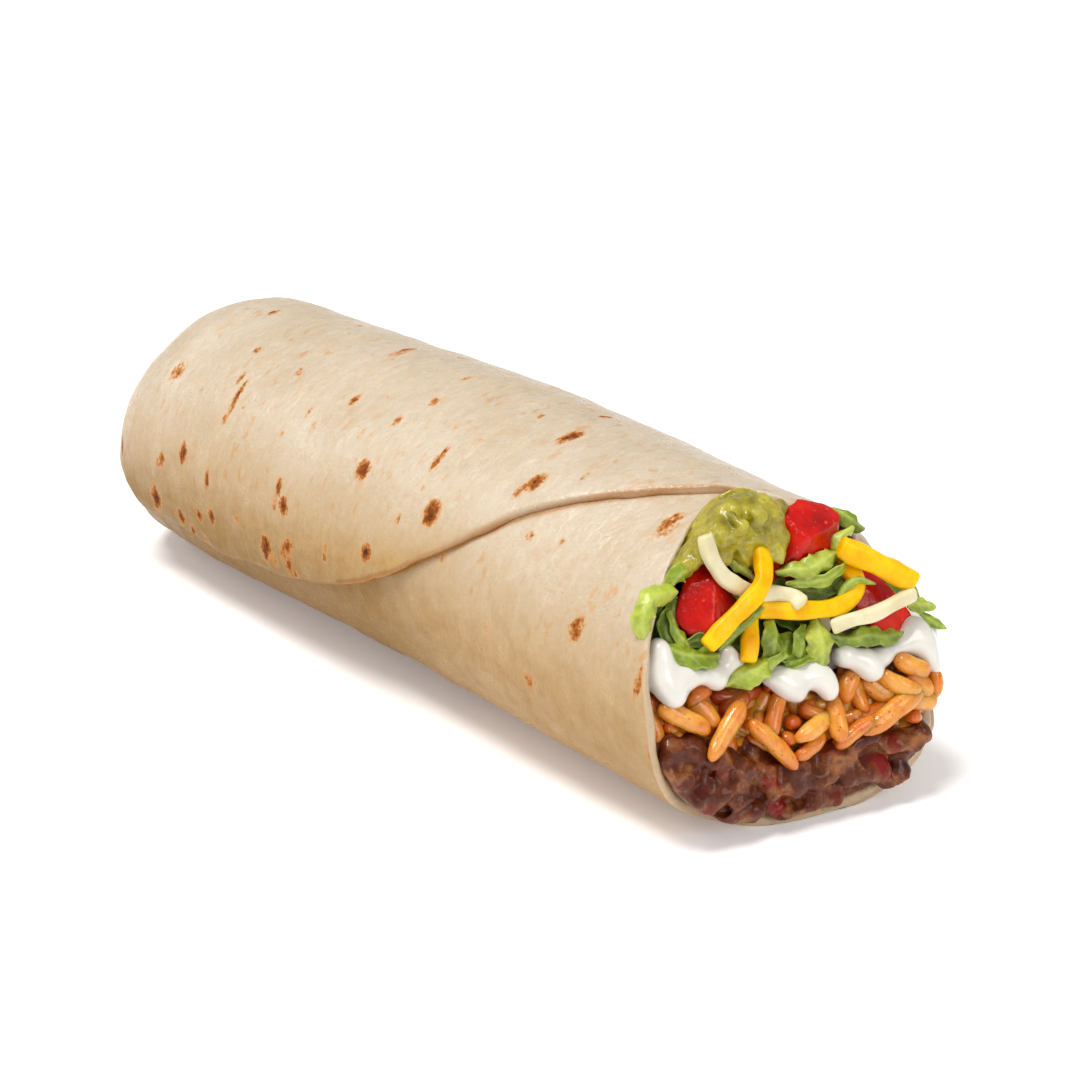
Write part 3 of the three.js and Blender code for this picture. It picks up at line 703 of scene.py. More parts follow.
def tomato_look():
    look = Look("tomato", (200, 20, 12), 0.26, 0.28, (0.4, (1.3, 0.16, 0.08), 1.3), (0.12, 0.1))
    look.base = look.ramp(look.noise(6, 4, 0.55), (0.32, (150, 3, 1)), (0.52, (196, 12, 2)),
                          (0.72, (224, 44, 14)))
    look.specks(0.8, 0.64, 0.72, 0.5, (238, 104, 66))
    look.grain([0.55, 3, 0.12, 0.8], [2, 3, 0.25, 0.6])
    return look.done()


def cheese_look(name, dark, light, radius):
    look = Look(name, light, 0.3, 0.2, (0.45, radius, 1.4))
    look.base = look.ramp(look.noise(3.5, 4, 0.6), (0.32, dark), (0.62, light))
    look.grain([0.45, 3, 0.06, 0.6], [1.6, 3, 0.18, 0.6])
    return look.done()


# ---- The tortilla ----

ROW_STEP = 0.72
COLUMNS = 236  # of the roll's body, between the flap's edge and under it
RIM_ROWS = 11
INNER_ROWS = 12
INNER_DEPTH = 30  # the roll is closed this far behind the lip
ROLL_RADIUS = 27  # where the edge's sizes are true; they shrink with the roll
LEAST_RADIUS = 4  # toward its tip, but no further than this
MIDDLE_STATION = 86  # its ring sets the distances round the roll
NOSE_SHARE = 0.004  # the flap's edge reaches this far round past its line
# The flap's rounded edge: [distance past the edge, lift off the mean surface].
NOSE = [
    [0.30, -0.93], [0.48, -0.78], [0.58, -0.52], [0.62, -0.2], [0.58, 0.14], [0.42, 0.44],
    [0.16, 0.64], [-0.2, 0.75], [-0.7, 0.79],
]
# Columns under the flap's edge: how far each lies past it.
CREVICE = [5, 4.2, 3.5, 2.9, 2.4, 1.9, 1.5, 1.1, 0.75, 0.45]

# Toasted spots where the photograph shows them: [x, angle, long, wide, turn, strength].
SPOTS = [
    [2.9, 28, 5.6, 2.4, 0, 0.72], [27.3, 50, 4.8, 2.8, 0, 0.5], [47.1, 49, 6, 0.9, 0, 0.72],
    [45, 43, 3, 0.8, 0, 0.5], [47.7, 55, 4.2, 0.9, 0, 0.42], [47.4, 60, 2.2, 1, 0, 0.5],
    [43.5, 36, 5, 1, 0, 0.32], [42.4, 30, 2.2, 1, 0, 0.5], [33, 8, 3.6, 1, 0, 0.62],
    [17.3, 2, 3, 1.2, 0, 0.6], [69.3, 5, 6, 2, 0, 0.46], [68.5, -1, 4, 0.9, 0, 0.64],
    [50, -9, 2.4, 0.9, 0, 0.46], [74.4, 34, 2.8, 1, 0, 0.72], [89.6, 23, 2.5, 1.2, 0, 0.6],
    [87, 36, 3, 1.2, 0, 0.5], [101, 41, 5, 1, 0, 0.6], [87.5, 56, 3.7, 2.6, 0, 0.82],
    [106.5, 59, 4.1, 2.7, 0, 0.92], [94.5, 82, 3.2, 2, 0, 1], [38.7, 79, 3.8, 1.8, 0, 0.8],
    [31.9, 86, 3.2, 1.3, 0, 0.76], [30.4, 88, 2, 1.2, 0, 0.45], [47.7, 85, 4.5, 1, 0, 0.62],
    [27.9, 103, 5, 2.7, 20, 1], [36.9, 106, 3, 2, 0, 0.82], [43.7, 101, 2.6, 1.2, 15, 0.86],
    [48, 98, 3.6, 1.3, 10, 0.8], [39.8, 110, 3, 1.4, 20, 0.76], [44.1, 112, 3.4, 1.1, 0, 0.62],
    [57, 94, 1.6, 1, 0, 0.7], [68.8, 74, 3.6, 1.3, 0, 0.66], [71.2, 80, 3, 1.9, 0, 0.8],
    [68.5, 80, 4, 1.6, 0, 0.4], [71.8, 84, 1.1, 1, 0, 0.4], [65.4, 100, 5, 2, 20, 1],
    [73, 94, 3, 1.3, 15, 0.86], [71.5, 98, 4.5, 3, 15, 0.5], [72.5, 101, 4, 1, 25, 0.8],
    [68, 103, 2.5, 1.4, 20, 0.6], [74, 104, 2, 0.9, 25, 0.7], [83.9, 88, 2, 1, 0, 0.5],
    [83.5, 92, 2, 1, 0, 0.5], [14.9, 90, 4, 1.6, 0, 0.86], [11.2, 98, 2, 1.2, 0, 0.62],
    [57.4, 32, 2.4, 1.8, 0, 0.36], [55, 56, 1.8, 0.9, 0, 0.4], [50.5, 53, 1.6, 0.9, 0, 0.45],
    [37.1, 53, 1.6, 1.2, 0, 0.36], [67.1, 45, 2.4, 1, 0, 0.36], [70.5, 49, 2.6, 1.2, 0, 0.38],
    [63.9, 56, 1.3, 0.9, 0, 0.4], [80.3, 28, 1.3, 0.9, 0, 0.36], [100, 66, 3, 1, 0, 0.36],
    [102, 53, 1.6, 0.9, 0, 0.35], [117.3, 12, 5, 1.7, 0, 0.86], [121.6, 34, 3.6, 2, 0, 0.8],
    [120.2, 39, 4, 1.1, 0, 0.6], [128, 24, 3, 0.9, 0, 0.4], [113.5, -12, 3, 1, 0, 0.6],
    [96.3, -21, 4, 1, 0, 0.5], [76, -14, 3, 0.9, 0, 0.46], [88, 6, 3, 1, 0, 0.34],
    [98, 8, 2.4, 0.9, 0, 0.34], [108.5, 9, 2.2, 1, 0, 0.42], [105, 30, 3, 1.4, 0, 0.3],
    [146, 24, 6.4, 1.6, 0, 0.62], [147.2, 26, 4.4, 0.9, 0, 0.5], [126.5, 50, 2.4, 1.4, 0, 0.36],
    [132.7, 47, 2.2, 0.9, 0, 0.36], [142.7, 71, 4.6, 2.6, 0, 0.5], [157.6, 78, 6, 1, 0, 0.62],
    [133.9, 100, 6, 3, 0, 0.3], [160.2, 102, 5, 1.2, 0, 0.45], [161.3, 110, 3, 1, 0, 0.5],
    [111.1, 71, 2.6, 1.2, 0, 0.45], [124, 88, 4, 2, 0, 0.26],
]
HIDDEN_SPOTS = 64  # more where the photograph doesn't show the roll,
HIDDEN_FROM = 128  # between these angles
HIDDEN_TO = 338

# Pleats that close the end: [angle, height, how far they reach up the roll].
PLEATS = [
    [24, 0.8, 5], [-22, 1.2, 11], [-60, 1, 8], [-96, 1.5, 15], [-128, 1.1, 9], [-163, 1.4, 12],
    [172, 1, 8], [150, 1.2, 7], [72, 0.7, 3],
]


def ring_shares():
    """Distance round the roll, as a share from 0 to 1, for every whole angle."""
    angles = np.arange(361)
    length = lengths_along(mean_point(MIDDLE_STATION, angles))
    return angles, length / length[-1], length[-1]


RING_ANGLES, RING_SHARES, RING_LENGTH = ring_shares()


def share_of(angle):
    turns = np.floor(np.asarray(angle, float) / 360)
    return turns + np.interp(angle - 360 * turns, RING_ANGLES, RING_SHARES)


def angle_of(share):
    turns = np.floor(share)
    return 360 * turns + np.interp(share - turns, RING_SHARES, RING_ANGLES)


def row_stations():
    """Stations about one row step apart along the surface, from the tip to the lip."""
    x = MEAN_LIP * np.linspace(0, 1, 4000) ** 3
    length = lengths_along(mean_point(x, 90))
    rows = int(length[-1] / ROW_STEP)
    return np.interp(np.linspace(0, length[-1], rows + 1)[1:], length, x)


def pleat_lift(x, angle, radius):
    """Folds of sheet gathered to the tip: each has a steep side and a long slope."""
    total = np.zeros(x.shape)
    for at, height, reach in PLEATS:
        arc = np.radians(turned_to(angle - at, -180)) * radius
        fade = bell(x, 0, reach) * smooth_step(radius / 5)
        total += height * fade * smooth_step(arc / 0.8 + 0.5) * np.exp(-np.maximum(arc, 0) / 5)
    return total


def tortilla_relief(points, x, angle):
    """The sheet's own unevenness: soft lumps, fine wrinkles round it and creases."""
    lift = lumps(points, [0.22, 11, 1], [0.1, 4.5, 2])
    lift += lumps(points * np.array([1, 0.28, 0.28]), [0.05, 1.5, 3], [0.07, 3.4, 4])
    # It sinks on top by the closed end, fills out low on the near side, and drapes on the
    # filling by the far lip.
    from_top = np.abs(turned_to(angle - 40, -180))
    lift -= 0.8 * fall(x, 24, 22) * fall(from_top, 110, 40)
    lift += 0.9 * bell(x, 36, 26) * bell(turned_to(angle, 0), 138, 20)
    lift -= 0.6 * rise(x, 122, 22) * bell(turned_to(angle + 90, 0), 52, 24)
    return lift


def all_spots():
    rng = np.random.default_rng(5)
    spots = list(SPOTS)
    for _ in range(HIDDEN_SPOTS):
        long = rng.uniform(1.4, 5.2)
        spots.append([rng.uniform(1, 163), rng.uniform(HIDDEN_FROM, HIDDEN_TO), long,
                      long * rng.uniform(0.28, 0.6), rng.uniform(-20, 20), rng.uniform(0.34, 1)])
    return spots


def spot_field(points):
    """How toasted each point is, from 0 to 1."""
    field = np.zeros(len(points))
    for x, angle, long, wide, turn, strength in all_spots():
        normal, along, around = roll_frame(np.float64(x), np.float64(angle))
        away = points - mean_point(x, angle)
        near = np.nonzero(np.abs(away).max(axis=1) < long * 1.6 + 2)[0]
        away = away[near]
        c, s = math.cos(math.radians(turn)), math.sin(math.radians(turn))
        across, length = away @ along, away @ around
        u = (c * length - s * across) / (long / 2)
        v = (s * length + c * across) / (wide / 2 + 0.25)
        ragged = 0.35 * lumpiness(points[near], 1.3, 8)
        spot = strength * np.exp(-np.maximum(u * u + v * v + ragged, 0) * 1.05)
        spot[np.abs(away @ normal) > 3] = 0
        field[near] = np.maximum(field[near], spot)
    return field


def row_outline(station, seam, bend, swell, thin):
    """A row's angles and lifts: over the flap's edge, round the roll and under the flap."""
    across = mean_point(station, seam) - mean_point(station, seam + 180)
    radius = max(np.hypot(*across[1:]) / 2, LEAST_RADIUS)
    around = RING_LENGTH * radius / ROLL_RADIUS
    fold = smooth_step(station / 0.9)
    past, nose_lift = np.array(NOSE).T
    edge = share_of(seam)
    nose = edge + (past + bend * fold) / around
    under = edge - 1 + (np.array(CREVICE) + bend * fold) / around
    body = np.linspace(nose[-1], under[0], COLUMNS + 2)[1:-1]
    share = np.concatenate([nose, body, under])
    angle = angle_of(share)
    near_edge = bell((edge - share) * RING_LENGTH, 0, 4.5)
    under_edge = bell((edge - 1 - share) * RING_LENGTH, 0, 13)
    lift = spiral_lift(np.clip(seam - angle, 0, 360))
    lift = lift + swell * near_edge * fold + thin * under_edge
    rounded = np.maximum(nose_lift, nose_lift[0] + thin)
    lift[:len(nose)] = rounded + swell * smooth_step((nose_lift + 0.9) / 1.6) * fold
    return angle, lift * fold + (1 - fold) * (FLAP_LIFT - SHEET / 2)


def outer_rows(stations, seams):
    """The outside of the roll: its rows' angles, lifts and points."""
    line = np.stack([stations, 0 * stations, 0 * stations], -1)
    bends = lumps(line, [0.5, 9, 20], [0.22, 3, 21])
    swells = 0.25 * bell(stations, 50, 26) + 0.1
    thins = 0.55 * rise(stations, 88, 34)
    outlines = [row_outline(*row) for row in zip(stations, seams, bends, swells, thins)]
    angles, lifts = np.array(outlines).transpose(1, 0, 2)
    xs = row_x(stations[:, None], angles)
    base = mean_point(xs, angles)
    middle_z = base[..., 2].mean(axis=1, keepdims=True)
    radius = np.hypot(base[..., 1] - CENTRE_Y(xs), base[..., 2] - middle_z)
    lifts = lifts + tortilla_relief(base, xs, angles) * smooth_step(stations / 0.6)[:, None]
    lifts = lifts + pleat_lift(xs, angles, radius)
    return angles, lifts, base + roll_frame(xs, angles)[0] * lifts[..., None]


def inner_rows(lip_angle, lip_lift, lip_points, seam):
    """Rows that round over the rim of the lip, and then run back inside the mouth."""
    turns = np.linspace(0, 1, len(lip_angle) + 1)[:-1]
    inner_angle = angle_of(share_of(seam) + NOSE_SHARE - turns)
    inner_lift = 0.15 * lumpiness(lip_points, 5, 30) - sheet_depth(inner_angle)
    thick = lip_lift - inner_lift
    rows = []
    for t in np.arange(1, RIM_ROWS + 1) / RIM_ROWS:
        angle = lip_angle + (inner_angle - lip_angle) * t
        lift = lip_lift + (inner_lift - lip_lift) * (1 - math.cos(math.pi * t)) / 2
        # A groove shows in the rim where two sheets lie on each other.
        bulge = 0.42 * np.minimum(thick, 2.2) * math.sin(math.pi * t)
        groove = 0.55 * bell(lift, -0.85, 0.3) * rise(thick, 2.1, 0.5)
        x = row_x(MEAN_LIP, angle)
        place = mean_point(x, angle)
        ragged = lumps(place, [0.3, 4, 31], [0.12, 1.4, 32])
        normal, along, _ = roll_frame(x, angle)
        push = bulge - groove + ragged * math.sin(math.pi * t)
        rows.append(place + normal * lift[:, None] + along * push[:, None])
    for t in np.arange(1, INNER_ROWS + 1) / INNER_ROWS:
        x = row_x(MEAN_LIP - INNER_DEPTH * t ** 1.5, inner_angle)
        place = mean_point(x, inner_angle)
        lift = inner_lift + 0.2 * lumpiness(place, 6, 33)
        inside = place + roll_frame(x, inner_angle)[0] * lift[:, None]
        inside[:, 2] = np.maximum(inside[:, 2], SHEET + 0.1)
        rows.append(inside)
    return np.array(rows)


def toast_and_painted_shade(points, outer_count, arcs):
    """How toasted each point is, how tan from toasting and painted shade, and where painted shade
    and a painted shadow line along the seam fall. Arcs are mm from the flap's edge.
    """
    # Turns are degrees from the top, and x is mm from the closed tip: each rise begins at
    # its first number, and its second says how far it takes.
    outside = np.arange(len(points)) < outer_count
    arc = np.full(len(points), np.inf)
    arc[outside] = arcs.ravel()
    x = points[:, 0]
    turned = np.abs(turned_to(mouth_angle(points), -180))
    under_flap = fall(arc / 3, 0.5, 1) * (x > 4)
    paler = np.maximum(rise(x, 4, 46), under_flap)
    # The tan grows toward the underside and along the flap's margin: partly toasting, partly painted
    # shade.
    margin = np.exp(-np.maximum(arc, 0) / 6) * (arc > -1)
    tan_and_shade = rise(turned, 52, 56) * (0.6 + 0.4 * paler) + 0.5 * margin * rise(turned, 40, 50)
    # Painted shadow on the under-sheet just beneath the flap's edge, and painted shade over the low
    # side.
    flap_shadow = np.exp(np.minimum(arc, 0) / 4) * (arc < 0) * rise(turned, 70, 30)
    shade = 0.75 * rise(turned, 70, 52) * (1 - 0.55 * rise(x, 84, 40))
    shade += (0.9 - shade) * 0.8 * flap_shadow
    return {"spot": spot_field(points) * outside,
            "tan_and_shade": np.clip(tan_and_shade, 0, 1) * np.where(outside, 1, 0.4),
            "shade": shade * np.where(outside, 1, 0.15),
            "seam_shadow": 0.85 * bell(arc, -0.7, 0.6) * rise(x, 4, 50)}


def make_tortilla():
    stations = row_stations()
    seams = np.array([seam_on_row(station) for station in stations])
    angles, lifts, outer = outer_rows(stations, seams)
    rings = np.concatenate([outer, inner_rows(angles[-1], lifts[-1], outer[-1], seams[-1])])
    rings[..., 2] = np.maximum(rings[..., 2], 0)
    rows, columns = rings.shape[:2]
    ends = [rings[0].mean(axis=0), rings[-1].mean(axis=0)]
    points = np.concatenate([rings.reshape(-1, 3), ends])
    faces = [group[:, ::-1] for group in tube_faces(rows, columns)]
    arcs = turned_to(seams[:, None] - angles, -180) * RING_LENGTH / 360
    add_piece("tortilla_roll", points, faces, tortilla_look(), "tortilla",
              toast_and_painted_shade(points, angles.size, arcs))


# ---- The filling ----

STEP = 0.36  # spacing of the grids that the soft layers are made on
FINE_STEP = 0.32  # and of the guacamole's,
TOMATO_STEP = 0.26  # the tomatoes'
SALAD_STEP = 0.42  # and the bed of lettuce's
BACK = 143  # the layers end this far from the closed tip
SPREAD = 0.45  # how fast the filling may widen past the lip


def mouth_angle(grid):
    """The angle round the roll of each point."""
    return np.degrees(np.arctan2(CENTRE_Y(grid[..., 0]) - grid[..., 1],
                                 grid[..., 2] - BELLY * HEIGHT(grid[..., 0])))


def mouth_distance(grid, gap, spread=SPREAD):
    """The roll's inner wall, overlapped by a gap and opening out past the lip."""
    angle = mouth_angle(grid)
    past = np.maximum(grid[..., 0] - lip_at(angle) + 0.4, 0)
    return wall_distance(grid, sheet_depth(angle) - gap) - spread * past


def layer_distance(grid, lower, upper, recess, soft):
    """A layer of filling between two boundaries, or only over one, behind the open face."""
    y, z = grid[..., 1], grid[..., 2]
    slab = np.maximum(lower(y) - z, z - upper(y)) if upper else lower(y) - z
    body = blend_max(slab, face_distance(grid, recess), soft)
    return np.maximum(body, BACK - grid[..., 0])


def piece_from(field, grid, step, name, look, slot, cad_node, rounds, **shades):
    """A piece from a grid of distances. Each shade is a function of the points."""
    points, faces = surface_of(field, grid[0, 0, 0], step, rounds)
    attributes = {key: shade(points) for key, shade in shades.items()}
    add_piece(name, points, faces, look, cad_node, attributes)


# Bean mash: lumps are [y, z, out, half wide, half high, half deep, turn, skin].
BEANS = [
    [-21.9, 15.7, -0.1, 2, 2.4, 1.5, 0, 0.1], [-19.1, 14.8, 0.1, 2.1, 2.5, 1.5, 15, 0],
    [-21, 11.2, 0, 2.7, 1.4, 1.5, 5, 0.25], [-18.9, 9.1, -0.1, 1.6, 1.6, 1.5, 0, 0.1],
    [-15, 12.2, 0.2, 1.7, 2.8, 1.5, -15, 0.35], [-12, 10.5, 0, 2.5, 2.6, 1.5, 0, 0],
    [-13.1, 7, 0.2, 2.1, 1.9, 1.5, 0, 0], [-18, 6.7, -0.1, 1.8, 1.6, 1.5, 0, 0.8],
    [-10.3, 4, 0, 2.2, 1.4, 1.5, 0, 0.3], [-7.9, 8.2, 0.3, 1.3, 2.4, 1.5, 6, 1],
    [-6.4, 3.8, 0.1, 1.6, 1.2, 1.5, 0, 1], [-4, 6.8, 0.2, 2.4, 2.2, 1.5, 0, 0.1],
    [-2.8, 9.2, 0.2, 2, 1.6, 1.5, 0, 0], [-0.1, 2.9, 0, 2.5, 1.5, 1.5, 10, 0.1],
    [1.5, 7.2, 0.2, 2.5, 1.5, 1.5, 35, 0.6], [3.7, 2.9, 0.1, 1.6, 1.7, 1.5, 0, 0.5],
    [5.1, 7.4, 0.2, 1.3, 2.9, 1.5, 0, 0.05], [7.2, 5.4, 0.4, 0.9, 1, 1.5, 0, 0],
    [9.9, 6.3, 0.4, 3.1, 2.1, 1.5, -38, 1], [12.6, 3.1, 0.2, 1.6, 1.5, 1.5, 0, 0.4],
    [15, 4.7, 0.2, 1.8, 2, 1.5, 0, 0], [16.4, 9, 0.1, 2.2, 1.9, 1.5, 0, 0.05],
    [13.4, 9.6, 0.1, 1.4, 1.3, 1.5, 0, 0.6], [8.6, 10.8, -0.1, 2.9, 1.3, 1.5, 5, 0.1],
    [3, 10, -0.1, 2.2, 1.3, 1.5, 0, 0.2], [-4.3, 2.1, -0.1, 2.5, 1, 1.5, 0, 0],
    [-13.7, 3.6, -0.1, 2.2, 1, 1.5, 0, 0.1], [18.9, 10, 0, 1.2, 1.6, 1.5, 0, 0],
    [-20.5, 8.2, -0.1, 1.5, 1.4, 1.5, 0, 0], [-22.9, 12.8, -0.2, 1.4, 2.4, 1.5, 0, 0],
    [-15.7, 8.7, 0, 1.8, 1.7, 1.5, 0, 0.15],
]
BEAN_BULGE = 0.01  # how fast the beans' face bulges out to the lip below


def bean_bulge(z):
    return BEAN_BULGE * np.maximum(FACE_FOOT - z, 0) ** 2


def bean_place(y, z, out):
    """A place on the beans' face, which bulges out to the lip at the bottom."""
    return on_face(y, z, out) + np.array([bean_bulge(z), 0, 0])


def make_beans():
    grid = space((BACK - 1, -26, 1.5), (177, 25, 20), STEP)
    bulged = grid.copy()
    bulged[..., 0] -= bean_bulge(grid[..., 2])
    field = blend_max(grid[..., 2] - BEANS_TOP(grid[..., 1]), face_distance(bulged, 0.5), 2)
    field = np.maximum(field, BACK - grid[..., 0])
    field = with_lumps(field, grid, bean_place, BEANS, 1.5)
    field += 0.25 - 0.6 * (1 - np.abs(lumpiness(grid, 3.2, 41))) ** 2
    field += lumps(grid, [0.24, 1.9, 42], [0.1, 0.9, 43])
    spread = 0.1 - 0.5 * rise(turned_to(mouth_angle(grid), 0), 222, 22)
    field = blend_max(field, mouth_distance(grid, 0.2, spread), 0.6)
    piece_from(field, grid, STEP, "bean_mash", beans_look(), "beans", "beans", 1,
               skin=shade_of(BEANS, bean_place, 0.8, 0.5))


# Sour cream: lobes are [y, z, out, half wide, half high, half deep].
CREAM = [
    [-20.3, 28.1, 0.6, 1.9, 2.6, 2.2], [-21, 24.9, 1.2, 2.3, 2.7, 2.3],
    [-20.2, 22.6, 1.4, 1.8, 1.9, 2], [-17.9, 24.6, 1, 2.1, 2, 2.1], [-15.3, 24.6, 0.6, 2.2, 1.5, 2],
    [-12.8, 23.6, 0.8, 1.8, 2, 2], [-10.2, 25.6, 0.4, 1.8, 2.5, 2.2], [-8.4, 24.4, -0.4, 2, 1.6, 2],
    [-4.2, 22.2, 0.4, 1.5, 1.2, 1.8], [-2.4, 21.1, 1, 2.2, 2.4, 2.2],
    [-1.1, 19.8, 1.3, 1.6, 1.9, 1.9], [1, 22.5, 0.2, 3.2, 1.3, 2], [2.2, 21.2, 1.2, 2.6, 1.7, 2.1],
    [3.8, 19.4, 1.6, 1.8, 2.4, 2], [8.3, 22.8, 0.5, 1.9, 1.9, 2], [11.2, 21.6, 0.9, 2.3, 2.2, 2.2],
    [11.9, 20, 1.3, 1.7, 1.7, 1.9], [14.7, 21.8, 0.6, 1.6, 1.8, 1.8],
    [20.6, 23.6, 0.6, 2.8, 3, 2.5], [21.8, 21.2, 0.9, 1.8, 2.8, 2.2],
    [22.5, 18.8, 0.6, 0.9, 1.6, 1.4], [17.8, 22.6, 0.5, 1.8, 1.5, 1.9],
    [24.2, 23.2, -2.2, 2, 2.6, 2.6], [-23.4, 26.4, -0.9, 1.8, 2.4, 2],
]


def make_cream():
    grid = space((BACK - 1, -27, 14), (177, 27, 33), STEP)
    field = layer_distance(grid, RICE_TOP, CREAM_TOP, 2.6, 2.2)
    field += 0.3 * lumpiness(grid, 4.5, 53)
    field = with_lumps(field, grid, on_face, CREAM, 1.9)
    field += 0.1 + 0.1 * lumpiness(grid, 3.6, 51)
    field = blend_max(field, mouth_distance(grid, 0.2), 0.4)
    piece_from(field, grid, STEP, "sour_cream_dollops", cream_look(), "sour_cream",
               "sour_cream", 3)


# Guacamole: lumps are [y, z, out, half wide, half high, half deep].
GUACAMOLE = [
    [-8.2, 44.3, -0.6, 1.8, 1.8, 2.6], [-6.6, 45, -0.7, 2, 1.8, 2.6],
    [-4.9, 45.2, -0.8, 2.6, 1.8, 2.8], [-1.9, 45.2, -0.6, 2.6, 1.8, 2.8],
    [1.5, 44.8, -0.6, 2.4, 1.8, 2.8], [4.3, 43.9, -0.8, 1.4, 1.4, 2.2],
    [-10.3, 43.7, -0.4, 1.9, 1.9, 2.6], [-8, 43.8, 0.8, 2.2, 2.2, 3],
    [-4.8, 44, 1.1, 2.2, 1.9, 2.8], [-1.5, 43.4, 1.4, 2.4, 2.2, 3], [1.7, 42.6, 0.8, 2.2, 2.2, 2.8],
    [2.5, 40.2, 0.5, 1.7, 2.2, 2.6], [-12.8, 42, -0.2, 1.8, 2, 2.6],
    [-10.4, 41.4, 0.9, 2.3, 2.2, 2.8], [-7.2, 41.2, 1.5, 2.4, 2.2, 2.8],
    [-4.2, 41.1, 1.3, 2.2, 2.2, 2.8], [-1.2, 40.6, 1.3, 2.3, 2.4, 2.8],
    [1.2, 38.6, 0.8, 1.9, 1.9, 2.6], [-14.3, 40, -0.4, 1.6, 2, 2.4],
    [-11.8, 39.4, 0.4, 2.2, 1.6, 2.6], [-4, 38.6, 1.1, 2.2, 1.7, 2.6],
    [-1.2, 38, 0.8, 1.8, 1.5, 2.4], [-7.6, 39, 0.6, 2, 1.6, 2.4],
]
# Bits in it: an avocado skin sliver and red chips, as lumps of the same kind.
GUACAMOLE_DARK = [
    [-5.3, 43.9, 3.5, 0.35, 0.9, 1.2], [-5, 42.7, 3.8, 0.35, 0.8, 1.2],
    [-5.6, 41.9, 3.9, 0.8, 0.3, 1.2],
]
GUACAMOLE_CHIPS = [
    [-10.3, 40.8, 3, 0.9, 0.8, 1.4], [2.1, 46.4, 2, 0.9, 0.3, 1.4], [2.7, 44.8, 2.2, 0.3, 0.4, 1.2],
]


def make_guacamole():
    grid = space((BACK - 1, -20, 34), (162, 9, 49), FINE_STEP)
    field = layer_distance(grid, SALAD_TOP, None, 2, 1.5)
    field = with_lumps(field, grid, on_face, GUACAMOLE, 0.9)
    field = with_lumps(field, grid, on_face, GUACAMOLE_DARK, 0.3, 0.1)
    field += 0.8 * np.abs(lumpiness(grid, 3.2, 61)) - 0.3
    field += lumps(grid, [0.42, 1.8, 62], [0.16, 0.9, 63])
    # Past the lip it may widen faster over the top, where it leans on the tortilla.
    wall = mouth_distance(grid, 0.3, SPREAD + 0.8 * fall(mouth_angle(grid), 24, 24))
    field = blend_max(field, wall + 0.3 * lumpiness(grid, 3.4, 64) + 0.1, 1)
    piece_from(field, grid, FINE_STEP, "guacamole_mash", guacamole_look(), "guacamole",
               "guacamole", 1, dark=shade_of(GUACAMOLE_DARK, on_face, 0.4),
               chip=shade_of(GUACAMOLE_CHIPS, on_face, 0.5))


# Rice grains on show: [y, z, out] of one end, then of the other.
GRAINS = [
    [-17.9, 20.5, -0.4, -13.3, 22.6, -1], [-22.4, 21.6, 0.4, -15.9, 17, 1],
    [-17.2, 21.8, -1.2, -14.2, 17.4, 0.6], [-9.8, 19.9, 1.2, -17.6, 13.3, 1.9],
    [-13.3, 21, -2.2, -4.6, 20.5, -1.8], [-7.6, 20.7, -1.2, -12.6, 18.3, -1],
    [-4.3, 20.4, -1.4, -9.3, 16.4, -0.8], [-4.9, 20.8, 0.4, -0.7, 20.6, -6],
    [-2.5, 20.4, -0.2, -7, 14.2, 0.9], [-9.6, 17.2, 1, -4, 9.2, 2],
    [-3.4, 15.7, 1.8, 0.3, 16.5, -5], [-4.8, 13.8, 1.4, 0.7, 13.5, -4],
    [-3.6, 13.4, 1.8, 3.7, 15.6, 0.2], [-0.4, 17.4, -0.6, 3.5, 14.8, 0.9],
    [-3.8, 10.8, 1.4, 2.4, 13.3, -0.2], [5.1, 17.9, 0.2, 3.6, 11.6, 2.4],
    [11.1, 21, -0.8, 6.4, 16.6, -0.4], [9.9, 20, -1, 10, 14.5, 0.1],
    [7.6, 17.6, -2, 8.9, 12.9, -1.6], [10.6, 13.6, 1.2, 3.4, 10.8, 0.7],
    [15.3, 15.2, 0.2, 7.2, 13.8, -0.2], [10.8, 19.2, -0.8, 14.7, 15.5, 0.4],
    [12.9, 19.5, 1, 18.6, 16, 2], [16, 21.2, 1.2, 20.8, 18, 1.6], [19.6, 16.4, 1, 7.9, 11.8, 1.2],
    [17.6, 18.7, 1.2, 20.6, 15.2, 1.5], [22.2, 18.6, 0.3, 20.9, 14.2, 0.4],
    [17, 12.4, 1.6, 19.2, 13.7, -4], [16.8, 14.8, 0.4, 21.6, 14.1, 0.6],
    [-22.2, 23.4, -1.6, -21, 18.5, -1.6], [2.8, 10.6, -0.5, 10.2, 11.8, -0.8],
    [-0.9, 17.8, -2, 4.6, 18.4, -2], [-21.6, 19.4, -1.2, -14.8, 15.4, -1.2],
    [-13.4, 18.8, -1.8, -12, 13, -1.2], [-9.4, 14.8, -1.8, -2.4, 12.4, -1.6],
    [5.6, 15.4, -1.6, 0.8, 10.8, -1], [12.4, 17.6, -1.6, 18.6, 14, -1.2],
    [21.6, 17.2, -1.4, 17.8, 12.4, -1.2], [13.2, 13.6, -0.8, 17.6, 17.8, -0.8],
    [-12.2, 16.4, -0.8, -18.4, 17.8, -1], [23.4, 19.8, -3.2, 23, 13.4, -3.2],
    [24, 18.2, -3.8, 19.6, 20.8, -3.2], [-24, 21.8, -1.6, -23.4, 16.6, -1.6],
    [23.8, 15.8, -4.4, 19.6, 12.6, -3.2],
]
MORE_GRAINS = 120  # tried between and behind them; those in the wall are left out
GRAIN_ROWS = 22
GRAIN_COLUMNS = 14
GRAIN_DEPTH = 0.86  # a grain's thickness over its width
GROOVE_ANGLES = (1.4, 4.4)  # the two shallow grooves along a grain


